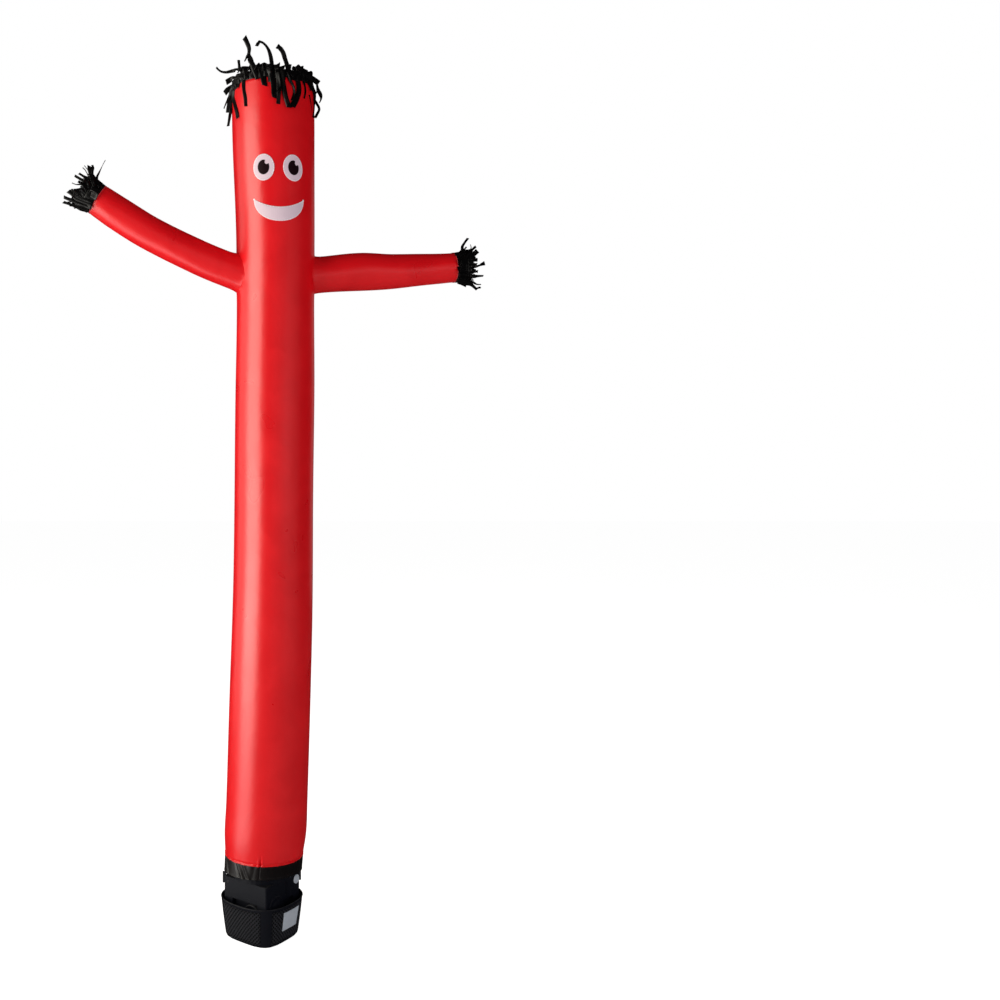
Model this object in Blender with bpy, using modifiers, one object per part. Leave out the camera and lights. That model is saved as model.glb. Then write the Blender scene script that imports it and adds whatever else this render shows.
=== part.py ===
"""Inflatable air dancer: a nylon tube with a sewn-on face, two open arms and ribbon
fringes, blown upright by the blower that its black foot cuff is drawn over.

Metres, +Z up. The dancer faces -Y, the floor is z = 0 and the origin is the centre of
the blower's underside. Left and right are those of somebody looking at the face.
"""

import math
import random
from collections import namedtuple

import bmesh
import bpy
from mathutils import Matrix, Vector
from mathutils.bvhtree import BVHTree

# ---- Driving dimensions ------------------------------------------------------------

CLOTH = 0.0012  # nylon with its hems
GAP = 0.0003  # clearance between pieces that touch

# The body tube, from the foot seam to the head seam. It bows a little to the right,
# swells over the foot seam and at the head, and is narrowest under the arms.
BodyPoint = namedtuple("BodyPoint", "height sideways radius")
BODY = (
    BodyPoint(0.306, 0.008, 0.1485),
    BodyPoint(0.390, 0.013, 0.1560),
    BodyPoint(0.500, 0.018, 0.1550),
    BodyPoint(0.870, 0.030, 0.1540),
    BodyPoint(1.250, 0.040, 0.1520),
    BodyPoint(1.640, 0.045, 0.1505),
    BodyPoint(2.030, 0.049, 0.1500),
    BodyPoint(2.370, 0.051, 0.1470),
    BodyPoint(2.670, 0.051, 0.1500),
    BodyPoint(2.980, 0.044, 0.1560),
    BodyPoint(3.110, 0.042, 0.1570),
    BodyPoint(3.200, 0.040, 0.1545),
)
BODY_SIDES = 36

# The arms lie in one upright plane through the body's axis. Reach is measured from it.
ArmPoint = namedtuple("ArmPoint", "reach height radius")
LEFT_ARM = (
    ArmPoint(0.000, 2.452, 0.0645),
    ArmPoint(0.145, 2.505, 0.0645),
    ArmPoint(0.296, 2.561, 0.0640),
    ArmPoint(0.476, 2.645, 0.0635),
    ArmPoint(0.594, 2.713, 0.0620),
    ArmPoint(0.668, 2.761, 0.0585),
)
RIGHT_ARM = (
    ArmPoint(0.000, 2.493, 0.0680),
    ArmPoint(0.150, 2.506, 0.0680),
    ArmPoint(0.331, 2.525, 0.0725),
    ArmPoint(0.459, 2.530, 0.0660),
    ArmPoint(0.589, 2.542, 0.0605),
    ArmPoint(0.708, 2.553, 0.0570),
)
ARM_AXIS_X = 0.051
ARM_TURN = math.radians(9.5)
ARM_SIDES = 24

# The foot cuff, drawn over the outlet ring. Its hem hangs lower at the sides.
CUFF_RADIUS = 0.1475
CUFF_HEM_X = 0.004
CUFF_HEM_SIDE_Z = 0.240
CUFF_HEM_RISE = 0.016
CUFF_HEM_TILT = 0.003
CUFF_SIDES = 36

# The fringes: a band of cloth sewn to the hem and cut into ribbons beyond it.
HEAD_BAND = 0.031
HEAD_RIBBONS = 42
HAND_BAND = 0.040
HAND_BAND_FLARE = 0.004
HAND_RIBBONS = 24
RIBBON_SHARE = 0.84  # of the pitch: the rest is the slit
RIBBON_ROOM = 0.0018  # kept clear on either side of a ribbon

# The face, sewn on. It is turned a little to the right of the front.
FACE_TURN = math.radians(5.5)
PATCH = 0.0008
EYE_SIZE = (0.080, 0.097)
EYE_SPACING = 0.1125
EYE_HEIGHT = 2.871
PUPIL_SIZE = (0.043, 0.0535)
GLINT_RADIUS = 0.0075
GLINT_PLACE = (0.0125, 0.0175)
MOUTH_HALF_WIDTH = 0.098
MOUTH_TIP_Z = 2.759
MOUTH_UPPER_SAG = 0.033
MOUTH_LOWER_SAG = 0.083

# The blower, which stands on one corner's side: its front corner points at -Y.
BLOWER_TURN = math.radians(6.0)
WALL = 0.003
BASE_HEIGHT = 0.147
# Its base is a rounded square in plan, rounder and wider at the rim than at the floor.
BASE_FLOOR = (0.117, 3.6)  # half the width across the faces, superellipse exponent
BASE_RIM = (0.143, 2.6)
BASE_COLUMN = 0.044
BASE_BAND_LOW = 0.009
BASE_BAND_HIGH = 0.010
GRILLE_GAP = 0.0008
HOUSING_SIDE = 0.2050
HOUSING_TOP = 0.224
HOUSING_TAPER_TOP = 0.080
HOUSING_FOOT_SIDE = 0.176
HOUSING_CORNER = 0.006
WELL_RADIUS = 0.092
WELL_DEPTH = 0.060
INTAKE_SIZE = (0.120, 0.030, 0.130)
INTAKE_HEIGHT = 0.085
GROOVE_SIZE = (0.003, 0.004, 0.066)
GROOVE_SHIFT = 0.017
NECK_RADIUS = 0.113
RING_TOP = 0.288
RING_LIP_RADIUS = 0.1390
LATCH_SIZE = (0.014, 0.008)
LATCH_HEIGHTS = {"left": (0.197, 0.239), "right": (0.195, 0.231)}
LATCH_PROUD = 0.0050
BADGE_RADIUS = 0.0165
BADGE_DEPTH = 0.002
BADGE_PLACE = (0.0790, 0.2055)  # along its side from the middle, and height
GLAND_RADIUS = 0.009
GLAND_DEPTH = 0.014
GLAND_PLACE = (0.050, 0.190)
PLATE_SIZE = (0.085, 0.071)
PLATE_TURN = 0.030
PLATE_HEIGHT = 0.088
PLATE_LIFT = 0.0006
PLATE = 0.0015

SEED = 5

Look = namedtuple("Look", "colour roughness metallic")
RED_NYLON = Look((0.62, 0.016, 0.016, 1.0), 0.42, 0.0)
BLACK_NYLON = Look((0.012, 0.012, 0.013, 1.0), 0.38, 0.0)
WHITE_CLOTH = Look((0.80, 0.72, 0.74, 1.0), 0.55, 0.0)
BLACK_CLOTH = Look((0.010, 0.009, 0.012, 1.0), 0.50, 0.0)
BLACK_PLASTIC = Look((0.018, 0.018, 0.020, 1.0), 0.45, 0.0)
GREY_PLASTIC = Look((0.045, 0.045, 0.050, 1.0), 0.50, 0.0)
SILVER_PLASTIC = Look((0.50, 0.52, 0.54, 1.0), 0.40, 0.0)


# ---- Scene, materials and objects --------------------------------------------------


def clear_scene():
    for item in list(bpy.data.objects):
        bpy.data.objects.remove(item, do_unlink=True)


def collection(name):
    made = bpy.data.collections.new(name)
    bpy.context.scene.collection.children.link(made)
    return made


def material(name, look):
    made = bpy.data.materials.new(name)
    made.use_nodes = True
    made.diffuse_color = look.colour
    shader = made.node_tree.nodes["Principled BSDF"]
    shader.inputs["Base Color"].default_value = look.colour
    shader.inputs["Roughness"].default_value = look.roughness
    shader.inputs["Metallic"].default_value = look.metallic
    return made


def add(name, bm, look, parent=None):
    """A part made of a bmesh, with its own material, in the dancer's collection."""
    mesh = bpy.data.meshes.new(name)
    bm.to_mesh(mesh)
    bm.free()
    mesh.shade_smooth()
    mesh.set_sharp_from_angle(angle=math.radians(35))
    made = bpy.data.objects.new(name, mesh)
    made.data.materials.append(material(name, look))
    bpy.data.collections["air_dancer"].objects.link(made)
    made.parent = parent
    return made


def add_cutter(name, bm, parent=None):
    """A closed shape that only cuts other parts."""
    mesh = bpy.data.meshes.new(name)
    bm.to_mesh(mesh)
    bm.free()
    made = bpy.data.objects.new(name, mesh)
    made.hide_render = True
    made.display_type = "WIRE"
    bpy.data.collections["cutters"].objects.link(made)
    made.parent = parent
    return made


def solidify(part, thickness, offset=-1.0):
    modifier = part.modifiers.new("thickness", "SOLIDIFY")
    modifier.thickness = thickness
    modifier.offset = offset
    modifier.use_even_offset = True


def cut(part, cutter):
    modifier = part.modifiers.new("cut_" + cutter.name, "BOOLEAN")
    modifier.operation = "DIFFERENCE"
    modifier.solver = "EXACT"
    modifier.object = cutter


# ---- Curves through the tables -----------------------------------------------------


def along(points, name, x):
    """The named column of a table at x, its first column, by a smooth cubic through
    the rows."""
    knots = [point[0] for point in points]
    values = [getattr(point, name) for point in points]
    slopes = [slope_at(knots, values, i) for i in range(len(knots))]
    i = max(0, min(len(knots) - 2, sum(knot <= x for knot in knots) - 1))
    span = knots[i + 1] - knots[i]
    t = (x - knots[i]) / span
    return (
        values[i] * (2 * t**3 - 3 * t**2 + 1)
        + slopes[i] * span * (t**3 - 2 * t**2 + t)
        + values[i + 1] * (3 * t**2 - 2 * t**3)
        + slopes[i + 1] * span * (t**3 - t**2)
    )


def slope_at(knots, values, i):
    before, after = max(i - 1, 0), min(i + 1, len(knots) - 1)
    return (values[after] - values[before]) / (knots[after] - knots[before])


def body_point(angle, height, proud=0.0):
    """The body's outer surface, at an angle from the front towards the right."""
    radius = along(BODY, "radius", height) + proud
    centre = along(BODY, "sideways", height)
    return Vector(
        (centre + radius * math.sin(angle), -radius * math.cos(angle), height)
    )


def arm_frame(arm, side, reach):
    """The frame of an arm's cross-section: z along the arm, away from the body."""
    step = 0.004
    ends = []
    for r in (reach - step, reach, reach + step):
        out = Vector((math.cos(ARM_TURN), math.sin(ARM_TURN), 0)) * side * r
        ends.append(Vector((ARM_AXIS_X, 0, along(arm, "height", r))) + out)
    axis = (ends[2] - ends[0]).normalized()
    across = axis.cross(Vector((0, 0, 1))).normalized()
    if side < 0:
        across = -across
    up = axis.cross(across)
    turn = Matrix((across, up, axis)).transposed().to_4x4()
    return Matrix.Translation(ends[1]) @ turn


# ---- Sleeves -----------------------------------------------------------------------


def sleeve(sides, rows, place, capped=False):
    """A round sleeve: a circle extruded row by row, its points then moved to
    place(angle, row)."""
    bm = bmesh.new()
    bmesh.ops.create_circle(bm, segments=sides, radius=1.0)
    ring = list(bm.edges)
    for _ in range(rows):
        new = bmesh.ops.extrude_edge_only(bm, edges=ring)["geom"]
        raised = [item for item in new if isinstance(item, bmesh.types.BMVert)]
        bmesh.ops.translate(bm, verts=raised, vec=(0, 0, 1))
        ring = [edge for vert in raised for edge in vert.link_edges if is_level(edge)]
        ring = list(set(ring))
    if capped:
        bmesh.ops.holes_fill(bm, edges=bm.edges, sides=0)
    bmesh.ops.recalc_face_normals(bm, faces=bm.faces)
    for vert in bm.verts:
        angle = math.atan2(vert.co.x, -vert.co.y)
        vert.co = place(angle, round(vert.co.z))
    return bm


def is_level(edge):
    return abs(edge.verts[0].co.z - edge.verts[1].co.z) < 0.5


def body_rows():
    """Heights of the body's rings, closer together where its outline turns."""
    foot = [BODY[0].height, 0.325, 0.355, 0.390, 0.430, 0.500]
    middle = [0.70 + 0.20 * i for i in range(8)]
    chest = [2.25, 2.37, 2.45, 2.53, 2.61, 2.70, 2.80]
    head = [2.89, 2.98, 3.06, 3.13, 3.17, BODY[-1].height]
    return foot + middle + chest + head


def make_tube():
    heights = body_rows()
    bm = sleeve(BODY_SIDES, len(heights) - 1, lambda a, row: body_point(a, heights[row]))
    tube = add("tube", bm, RED_NYLON)
    solidify(tube, CLOTH)
    return tube


def arm_sleeve(arm, side, first, last, rows, change=0.0, capped=False):
    """An arm between two reaches, with its radius changed by a little."""

    def place(angle, row):
        reach = first + (last - first) * row / rows
        radius = along(arm, "radius", reach) + change
        around = Vector((radius * math.sin(angle), -radius * math.cos(angle), 0))
        return arm_frame(arm, side, reach) @ around

    return sleeve(ARM_SIDES, rows, place, capped)


def make_arm(name, arm, side, tube):
    """An open sleeve, sewn round a hole in the body."""
    hand = arm[-1].reach
    made = add(name, arm_sleeve(arm, side, 0.05, hand, 12), RED_NYLON)
    solidify(made, CLOTH)
    body = sleeve(
        BODY_SIDES, 6, lambda a, row: body_point(a, 2.25 + 0.10 * row, GAP), capped=True
    )
    cut(made, add_cutter(name + "_body", body))
    bore = arm_sleeve(arm, side, 0.02, 0.22, 4, -CLOTH, capped=True)
    cut(tube, add_cutter(name + "_bore", bore))
    return made


def make_cuff():
    """The black cuff: its hem is raised at the front and the back."""
    top = BODY[0].height - GAP
    rows = 5

    def place(angle, row):
        hem = CUFF_HEM_SIDE_Z + CUFF_HEM_RISE * math.sqrt(abs(math.cos(angle)))
        hem += CUFF_HEM_TILT * math.sin(angle)
        height = hem + (top - hem) * row / rows
        share = (height - CUFF_HEM_SIDE_Z) / (top - CUFF_HEM_SIDE_Z)
        centre = CUFF_HEM_X + (BODY[0].sideways - CUFF_HEM_X) * share
        radius = CUFF_RADIUS + (BODY[0].radius - CUFF_RADIUS) * share
        return Vector(
            (centre + radius * math.sin(angle), -radius * math.cos(angle), height)
        )

    cuff = add("foot_cuff", sleeve(CUFF_SIDES, rows, place), BLACK_NYLON)
    solidify(cuff, CLOTH)


# ---- Fringes -----------------------------------------------------------------------

# One ribbon of a fringe. number counts ribbons from the front of the band towards the
# right. lean is the angle away from the band's axis, at the root and at the tip: 90
# points straight outward and 180 folds right back. The change is centred on bend_at
# and takes bend_over of the length. side is the angle that it leans sideways, at the
# root and, beyond side_from, at the tip. From roll_from on it turns about its own
# length. Angles are in degrees.
Ribbon = namedtuple(
    "Ribbon",
    "number length lean_root lean_tip bend_at bend_over"
    " side_root side_tip side_from roll roll_from",
)

# The front half of the head's fringe, from the left to the right.
HEAD_FRONT = (
    Ribbon(-11, 0.190, 20, 176, 0.12, 0.18, 0, -5, 0.4, 30, 0.3),
    Ribbon(-10, 0.135, 30, 166, 0.20, 0.30, 0, 7, 0.4, -20, 0.3),
    Ribbon(-9, 0.085, 55, 150, 0.22, 0.30, 0, -6, 0.2, 20, 0.3),
    Ribbon(-8, 0.172, 14, 177, 0.11, 0.16, 0, 20, 0.2, 15, 0.3),
    Ribbon(-7, 0.078, 50, 128, 0.22, 0.30, 0, 4, 0.2, 35, 0.3),
    Ribbon(-6, 0.048, 4, 0, 0.50, 0.50, -8, -6, 0.3, 30, 0.0),
    Ribbon(-5, 0.145, 60, 178, 0.09, 0.14, 4, 14, 0.2, 8, 0.3),
    Ribbon(-4, 0.138, 20, 98, 0.19, 0.20, -20, -60, 0.12, 8, 0.2),
    Ribbon(-3, 0.048, 40, 177, 0.20, 0.30, -4, -8, 0.3, 0, 0.3),
    Ribbon(-2, 0.136, 0, -8, 0.40, 0.50, -28, -22, 0.3, 165, 0.30),
    Ribbon(-1, 0.102, 20, 177, 0.12, 0.22, 0, -8, 0.35, 0, 0.3),
    Ribbon(0, 0.136, 6, 12, 0.40, 0.50, -12, -150, 0.49, 30, 0.10),
    Ribbon(1, 0.174, 8, 178, 0.10, 0.18, -8, -8, 0.3, 12, 0.3),
    Ribbon(2, 0.182, 20, 177, 0.09, 0.16, -4, 6, 0.3, 0, 0.3),
    Ribbon(3, 0.110, 2, -4, 0.60, 0.40, -24, -110, 0.62, 8, 0.2),
    Ribbon(4, 0.190, 8, 178, 0.12, 0.20, 0, -16, 0.2, -14, 0.3),
    Ribbon(5, 0.068, 14, 200, 0.36, 0.60, 0, 3, 0.3, 0, 0.3),
    Ribbon(6, 0.078, 45, 120, 0.22, 0.30, 0, 3, 0.3, 40, 0.2),
    Ribbon(7, 0.170, 12, 177, 0.12, 0.16, 0, 4, 0.1, 20, 0.3),
    Ribbon(8, 0.112, 35, 156, 0.28, 0.40, 0, -5, 0.3, 30, 0.3),
    Ribbon(9, 0.160, 30, 176, 0.20, 0.30, 0, 8, 0.2, -30, 0.4),
    Ribbon(10, 0.165, 12, 172, 0.12, 0.20, 0, 8, 0.3, 40, 0.3),
)


def smooth_step(t):
    t = max(0.0, min(1.0, t))
    return t * t * (3 - 2 * t)


def ribbon_frames(ribbon, root, pull, stations):
    """The ribbon's place and its crosswise and facing directions at its stations,
    which are shares of its length.

    It runs along the band's axis leant outward by the lean, then sideways by the side
    angle, and is pulled down by its own weight. Its place is the sum of those
    directions over fine steps.
    """
    fine = 48
    place = root.translation.copy()
    sideways, outward, axis = (root.col[i].to_3d() for i in range(3))
    frames, wanted = [], list(stations)
    for i in range(fine + 1):
        s = i / fine
        bend = smooth_step((s - ribbon.bend_at) / ribbon.bend_over + 0.5)
        lean = math.radians(
            ribbon.lean_root + (ribbon.lean_tip - ribbon.lean_root) * bend
        )
        turn = smooth_step((s - ribbon.side_from) / 0.4)
        side = math.radians(
            ribbon.side_root + (ribbon.side_tip - ribbon.side_root) * turn
        )
        leaning = math.cos(lean) * axis + math.sin(lean) * outward
        ahead = math.cos(side) * leaning + math.sin(side) * sideways
        ahead = (ahead + pull * s).normalized()
        facing = math.cos(lean) * outward - math.sin(lean) * axis
        across = facing.cross(ahead).normalized()
        roll = math.radians(ribbon.roll) * smooth_step((s - ribbon.roll_from) / 0.35)
        across = Matrix.Rotation(roll, 3, ahead) @ across
        if wanted and s >= wanted[0] - 1e-9:
            frames.append((place.copy(), across, ahead.cross(across)))
            wanted.pop(0)
        place += ahead * (ribbon.length / fine)
    return frames


def bend_stations(ribbon):
    """Shares of the length where a ribbon has a cross-section: its bend and its tip."""
    first = max(0.03, ribbon.bend_at - ribbon.bend_over / 2)
    last = min(0.85, ribbon.bend_at + ribbon.bend_over / 2)
    return [first + (last - first) * i / 3 for i in range(4)] + [(1 + last) / 2, 1.0]


def room_round(frames, width):
    """A closed surface a little outside a ribbon."""
    points, faces = [], []
    for place, across, facing in frames:
        half, thick = across * (width / 2 + GAP), facing * RIBBON_ROOM
        points += [place + half + thick, place - half + thick]
        points += [place - half - thick, place + half - thick]
    for i in range(0, len(points) - 4, 4):
        for j in range(4):
            k = (j + 1) % 4
            faces.append((i + j, i + k, i + 4 + k, i + 4 + j))
    last = len(points) - 4
    faces += [(0, 1, 2, 3), (last, last + 1, last + 2, last + 3)]
    return BVHTree.FromPolygons(points, faces)


def extend(bm, left, right, corners):
    """Extrudes the edge between two points to each pair of corners in turn."""
    for pair in corners:
        edge = bm.edges.get((left, right))
        new = bmesh.ops.extrude_edge_only(bm, edges=[edge])["geom"]
        fresh = [item for item in new if isinstance(item, bmesh.types.BMVert)]
        new_left = next(vert for vert in fresh if bm.edges.get((vert, left)))
        new_right = next(vert for vert in fresh if vert is not new_left)
        new_left.co, new_right.co = pair
        left, right = new_left, new_right


class Fringe:
    """A band round a sleeve's end, cut into ribbons, in that end's frame: z runs out
    of the sleeve and -y is its front."""

    def __init__(self, radius, band, flare, count, frame, droop):
        self.radius, self.band, self.count, self.frame = radius, band, count, frame
        self.root_radius = radius + flare
        self.pitch = 2 * math.pi / count
        self.width = RIBBON_SHARE * self.pitch * radius
        self.pull = frame.to_3x3().inverted() @ Vector((0, 0, -droop))
        self.placed = {}
        self.rooms = [self.room_round_sleeve()]

    def room_round_sleeve(self):
        """A closed surface just outside the sleeve and the band."""
        outline = ((0.007, -0.40), (0.007, -0.04), (0.002, self.band - 0.003))

        def place(angle, row):
            proud, height = outline[row]
            radius = self.radius + proud
            return Vector((radius * math.sin(angle), -radius * math.cos(angle), height))

        bm = sleeve(48, len(outline) - 1, place, capped=True)
        tree = BVHTree.FromBMesh(bm)
        bm.free()
        return tree

    def frames(self, ribbon, stations):
        """The ribbon's cross-sections, from its root on the band's upper edge."""
        angle = ribbon.number * self.pitch
        sideways = Vector((math.cos(angle), math.sin(angle), 0))
        outward = Vector((math.sin(angle), -math.cos(angle), 0))
        turn = Matrix((sideways, outward, Vector((0, 0, 1)))).transposed().to_4x4()
        place = outward * self.root_radius + Vector((0, 0, self.band))
        root = Matrix.Translation(place) @ turn
        return ribbon_frames(ribbon, root, self.pull, stations)

    def try_to_place(self, ribbon):
        """Keeps a ribbon if it is clear of the sleeve and of those before it."""
        stations = [0.08 + 0.092 * i for i in range(11)]
        room = room_round(self.frames(ribbon, stations), self.width)
        if any(room.overlap(other) for other in self.rooms):
            return
        self.placed[ribbon.number % self.count] = ribbon
        self.rooms.append(room)

    def fill(self, draw):
        """Draws each missing ribbon again until it is clear of the others."""
        for number in range(self.count):
            tries = 0
            while number not in self.placed and tries < 200:
                self.try_to_place(draw(number, tries))
                tries += 1

    def surface(self):
        """The band, with the upper edge of each of its uncut parts extruded along its
        ribbon."""
        half = RIBBON_SHARE / 2

        def place(angle, row):
            number, right = divmod(round(2 * angle / self.pitch), 2)
            turn = (number + (half if right else -half)) * self.pitch
            radius = self.root_radius if row else self.radius
            level = (radius * math.sin(turn), -radius * math.cos(turn))
            return Vector((*level, GAP + row * (self.band - GAP)))

        bm = sleeve(2 * self.count, 1, place)
        uppers = [vert for vert in bm.verts if vert.co.z > self.band / 2]
        for ribbon in self.placed.values():
            stations = [0.0] + bend_stations(ribbon)
            corners = [
                (place - across * self.width / 2, place + across * self.width / 2)
                for place, across, _ in self.frames(ribbon, stations)
            ]
            left, right = (nearest(uppers, corner) for corner in corners[0])
            extend(bm, left, right, corners[1:])
        return bm

    def make(self, name):
        fringe = add(name, self.surface(), BLACK_NYLON)
        fringe.matrix_world = self.frame
        solidify(fringe, CLOTH)


def nearest(verts, place):
    return min(verts, key=lambda vert: (vert.co - place).length)


def draw_head_ribbon(number, tries, dice):
    """A ribbon of the head: most fold over and hang outside, some stick out."""
    turns = (0, dice.uniform(-20, 20), 0.3, dice.uniform(-40, 40), 0.3)
    kind = dice.random()
    if tries > 120:
        return Ribbon(number, 0.045, 10, 40, 0.5, 0.8, 0, 0, 0.3, 0, 0.3)
    if kind < 0.6:
        length, tip = dice.uniform(0.12, 0.19), dice.uniform(166, 180)
        return Ribbon(number, length, 8, tip, dice.uniform(0.09, 0.16), 0.17, *turns)
    if kind < 0.8:
        length, tip = dice.uniform(0.06, 0.10), dice.uniform(90, 140)
        return Ribbon(number, length, 12, tip, dice.uniform(0.25, 0.45), 0.50, *turns)
    length, tip = dice.uniform(0.05, 0.10), dice.uniform(-20, 60)
    return Ribbon(number, length, 5, tip, 0.60, 0.60, *turns)


def draw_hand_ribbon(number, tries, dice):
    """A ribbon of a hand: it streams out of the sleeve, and some splay widely."""
    turns = (dice.uniform(-16, 16), dice.uniform(-35, 35), 0.2, dice.uniform(-60, 60), 0.2)
    if tries > 120:
        return Ribbon(number, 0.045, 4, 12, 0.5, 0.8, 0, 0, 0.3, 0, 0.3)
    if dice.random() < 0.2:
        length, tip = dice.uniform(0.040, 0.065), dice.uniform(40, 80)
        return Ribbon(number, length, 15, tip, dice.uniform(0.2, 0.4), 0.50, *turns)
    length, tip = dice.uniform(0.035, 0.078), dice.uniform(-12, 25)
    return Ribbon(number, length, 6, tip, dice.uniform(0.3, 0.6), 0.60, *turns)


def make_head_fringe():
    top = BODY[-1]
    frame = Matrix.Translation((top.sideways, 0, top.height))
    fringe = Fringe(top.radius, HEAD_BAND, 0.0, HEAD_RIBBONS, frame, 0.15)
    for ribbon in sorted(HEAD_FRONT, key=lambda ribbon: ribbon.lean_tip):
        fringe.try_to_place(ribbon)
    dice = random.Random(SEED)
    fringe.fill(lambda number, tries: draw_head_ribbon(number, tries, dice))
    fringe.make("hair_fringe")


def make_hand_fringe(name, arm, side):
    end = arm[-1]
    frame = arm_frame(arm, side, end.reach)
    fringe = Fringe(end.radius, HAND_BAND, HAND_BAND_FLARE, HAND_RIBBONS, frame, 0.30)
    dice = random.Random(SEED + side)
    fringe.fill(lambda number, tries: draw_hand_ribbon(number, tries, dice))
    fringe.make(name)


# ---- Face --------------------------------------------------------------------------


def on_face(u, v, proud):
    """A point u to the right of the face's middle line along the cloth, at height v."""
    return body_point(FACE_TURN + u / along(BODY, "radius", v), v, proud)


def patch(name, look, columns, rows, outline, layer):
    """A thin patch on the body's outside. outline(s, t) gives its place on the cloth
    for s and t from -1 to 1."""
    lift = 2 * GAP + layer * (PATCH + GAP)
    bm = bmesh.new()
    bmesh.ops.create_grid(bm, x_segments=columns, y_segments=rows, size=1.0)
    for vert in bm.verts:
        vert.co = on_face(*outline(vert.co.x, vert.co.y), lift)
    made = add(name, bm, look)
    solidify(made, PATCH, 1.0)
    return made


def oval(middle, size):
    """A square's points spread over an oval."""

    def outline(s, t):
        u = s * math.sqrt(1 - t * t / 2) * size[0] / 2
        v = t * math.sqrt(1 - s * s / 2) * size[1] / 2
        return middle + u, EYE_HEIGHT + v

    return outline


def smile(s, t):
    """A crescent between two arcs that meet at its tips."""
    upper = MOUTH_TIP_Z - MOUTH_UPPER_SAG * (1 - s * s)
    lower = MOUTH_TIP_Z - 0.002 - MOUTH_LOWER_SAG * math.sqrt(1 - s * s * 0.999)
    return s * MOUTH_HALF_WIDTH, lower + (upper - lower) * (t + 1) / 2


def make_face():
    for side, word in ((-1, "left"), (1, "right")):
        middle = side * EYE_SPACING / 2
        patch("eye_" + word, WHITE_CLOTH, 8, 8, oval(middle, EYE_SIZE), 0)
        pupil = patch("pupil_" + word, BLACK_CLOTH, 6, 6, oval(middle, PUPIL_SIZE), 1)
        cut(pupil, make_glint("glint_" + word, middle))
    patch("mouth", WHITE_CLOTH, 18, 2, smile, 0)


def make_glint(name, middle):
    """The round bite at a pupil's upper right, where the white shows."""
    place = on_face(middle + GLINT_PLACE[0], EYE_HEIGHT + GLINT_PLACE[1], 0)
    outward = on_face(middle + GLINT_PLACE[0], EYE_HEIGHT + GLINT_PLACE[1], 1) - place
    cutter = add_cutter(name, cylinder(GLINT_RADIUS, 0.02, 16))
    cutter.location = place
    cutter.rotation_euler = outward.to_track_quat("Z", "Y").to_euler()
    return cutter


# ---- Blower ------------------------------------------------------------------------


def base_point(angle, height, proud=0.0):
    """The base's outer side, at an angle from its front corner towards the right."""
    share = height / BASE_HEIGHT
    half = BASE_FLOOR[0] + (BASE_RIM[0] - BASE_FLOOR[0]) * share
    power = BASE_FLOOR[1] + (BASE_RIM[1] - BASE_FLOOR[1]) * share
    from_face = angle - math.pi / 4
    total = abs(math.cos(from_face)) ** power + abs(math.sin(from_face)) ** power
    radius = half / total ** (1 / power) + proud
    return Vector((radius * math.sin(angle), -radius * math.cos(angle), height))


COLUMN_ANGLE = math.asin(BASE_COLUMN / 2 / base_point(0.0, BASE_HEIGHT).xy.length)
WINDOW_LOW, WINDOW_HIGH = BASE_BAND_LOW, BASE_HEIGHT - BASE_BAND_HIGH
LINES_PER_FACE, LINES_PER_COLUMN = 10, 4


def line_angle(line):
    """The angle of one of the base's upright lines: each face has a column's half, a
    window and another column's half."""
    face, place = divmod(line, LINES_PER_FACE)
    half = LINES_PER_COLUMN // 2
    window = LINES_PER_FACE - LINES_PER_COLUMN
    if place <= half:
        angle = COLUMN_ANGLE * place / half
    elif place >= half + window:
        angle = math.pi / 2 - COLUMN_ANGLE * (LINES_PER_FACE - place) / half
    else:
        span = math.pi / 2 - 2 * COLUMN_ANGLE
        angle = COLUMN_ANGLE + span * (place - half) / window
    return face * math.pi / 2 + angle


def make_base(blower):
    """A tub with a floor, a round column at each corner and a window in each side."""
    heights = [0.0, 0.0022, WINDOW_LOW, 0.045, 0.090, WINDOW_HIGH, BASE_HEIGHT]
    insets = {0: 0.0065, 1: 0.0020}
    lines = 4 * LINES_PER_FACE

    def place(angle, row):
        line = round(angle / (2 * math.pi) * lines)
        return base_point(line_angle(line), heights[row], -insets.get(row, 0.0))

    bm = sleeve(lines, len(heights) - 1, place)
    low = [v for v in bm.verts if v.co.z < heights[1] / 2]
    bm.faces.new(sorted(low, key=lambda v: math.atan2(v.co.x, v.co.y)))
    window = [face for face in bm.faces if in_window(face.calc_center_median())]
    bmesh.ops.delete(bm, geom=window, context="FACES")
    base = add("blower_base", bm, BLACK_PLASTIC, blower)
    solidify(base, WALL)


def in_window(place):
    angle = math.atan2(place.x, -place.y) % (math.pi / 2)
    upright = COLUMN_ANGLE < angle < math.pi / 2 - COLUMN_ANGLE
    return upright and WINDOW_LOW < place.z < WINDOW_HIGH


def on_side(name, look, grid, middle, size, lift):
    """A sheet that follows the base's side: middle and size are its angle and height,
    and how far they run."""
    bm = bmesh.new()
    bmesh.ops.create_grid(bm, x_segments=grid[0], y_segments=grid[1], size=1.0)
    for vert in bm.verts:
        angle = middle[0] + vert.co.x * size[0] / 2
        height = middle[1] + vert.co.y * size[1] / 2
        vert.co = base_point(angle, height, lift)
    return add(name, bm, look)


def make_grilles(blower):
    height = WINDOW_HIGH - WINDOW_LOW - 2 * GRILLE_GAP
    span = math.pi / 2 - 2 * COLUMN_ANGLE - 2 * GRILLE_GAP / BASE_FLOOR[0]
    middle = (WINDOW_LOW + WINDOW_HIGH) / 2
    grid = (LINES_PER_FACE - LINES_PER_COLUMN, 3)
    for i, word in enumerate(("front_right", "back_right", "back_left", "front_left")):
        place = (math.pi / 4 + i * math.pi / 2, middle)
        grille = on_side("grille_" + word, GREY_PLASTIC, grid, place, (span, height), 0.0)
        grille.parent = blower
        solidify(grille, WALL)


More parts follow.
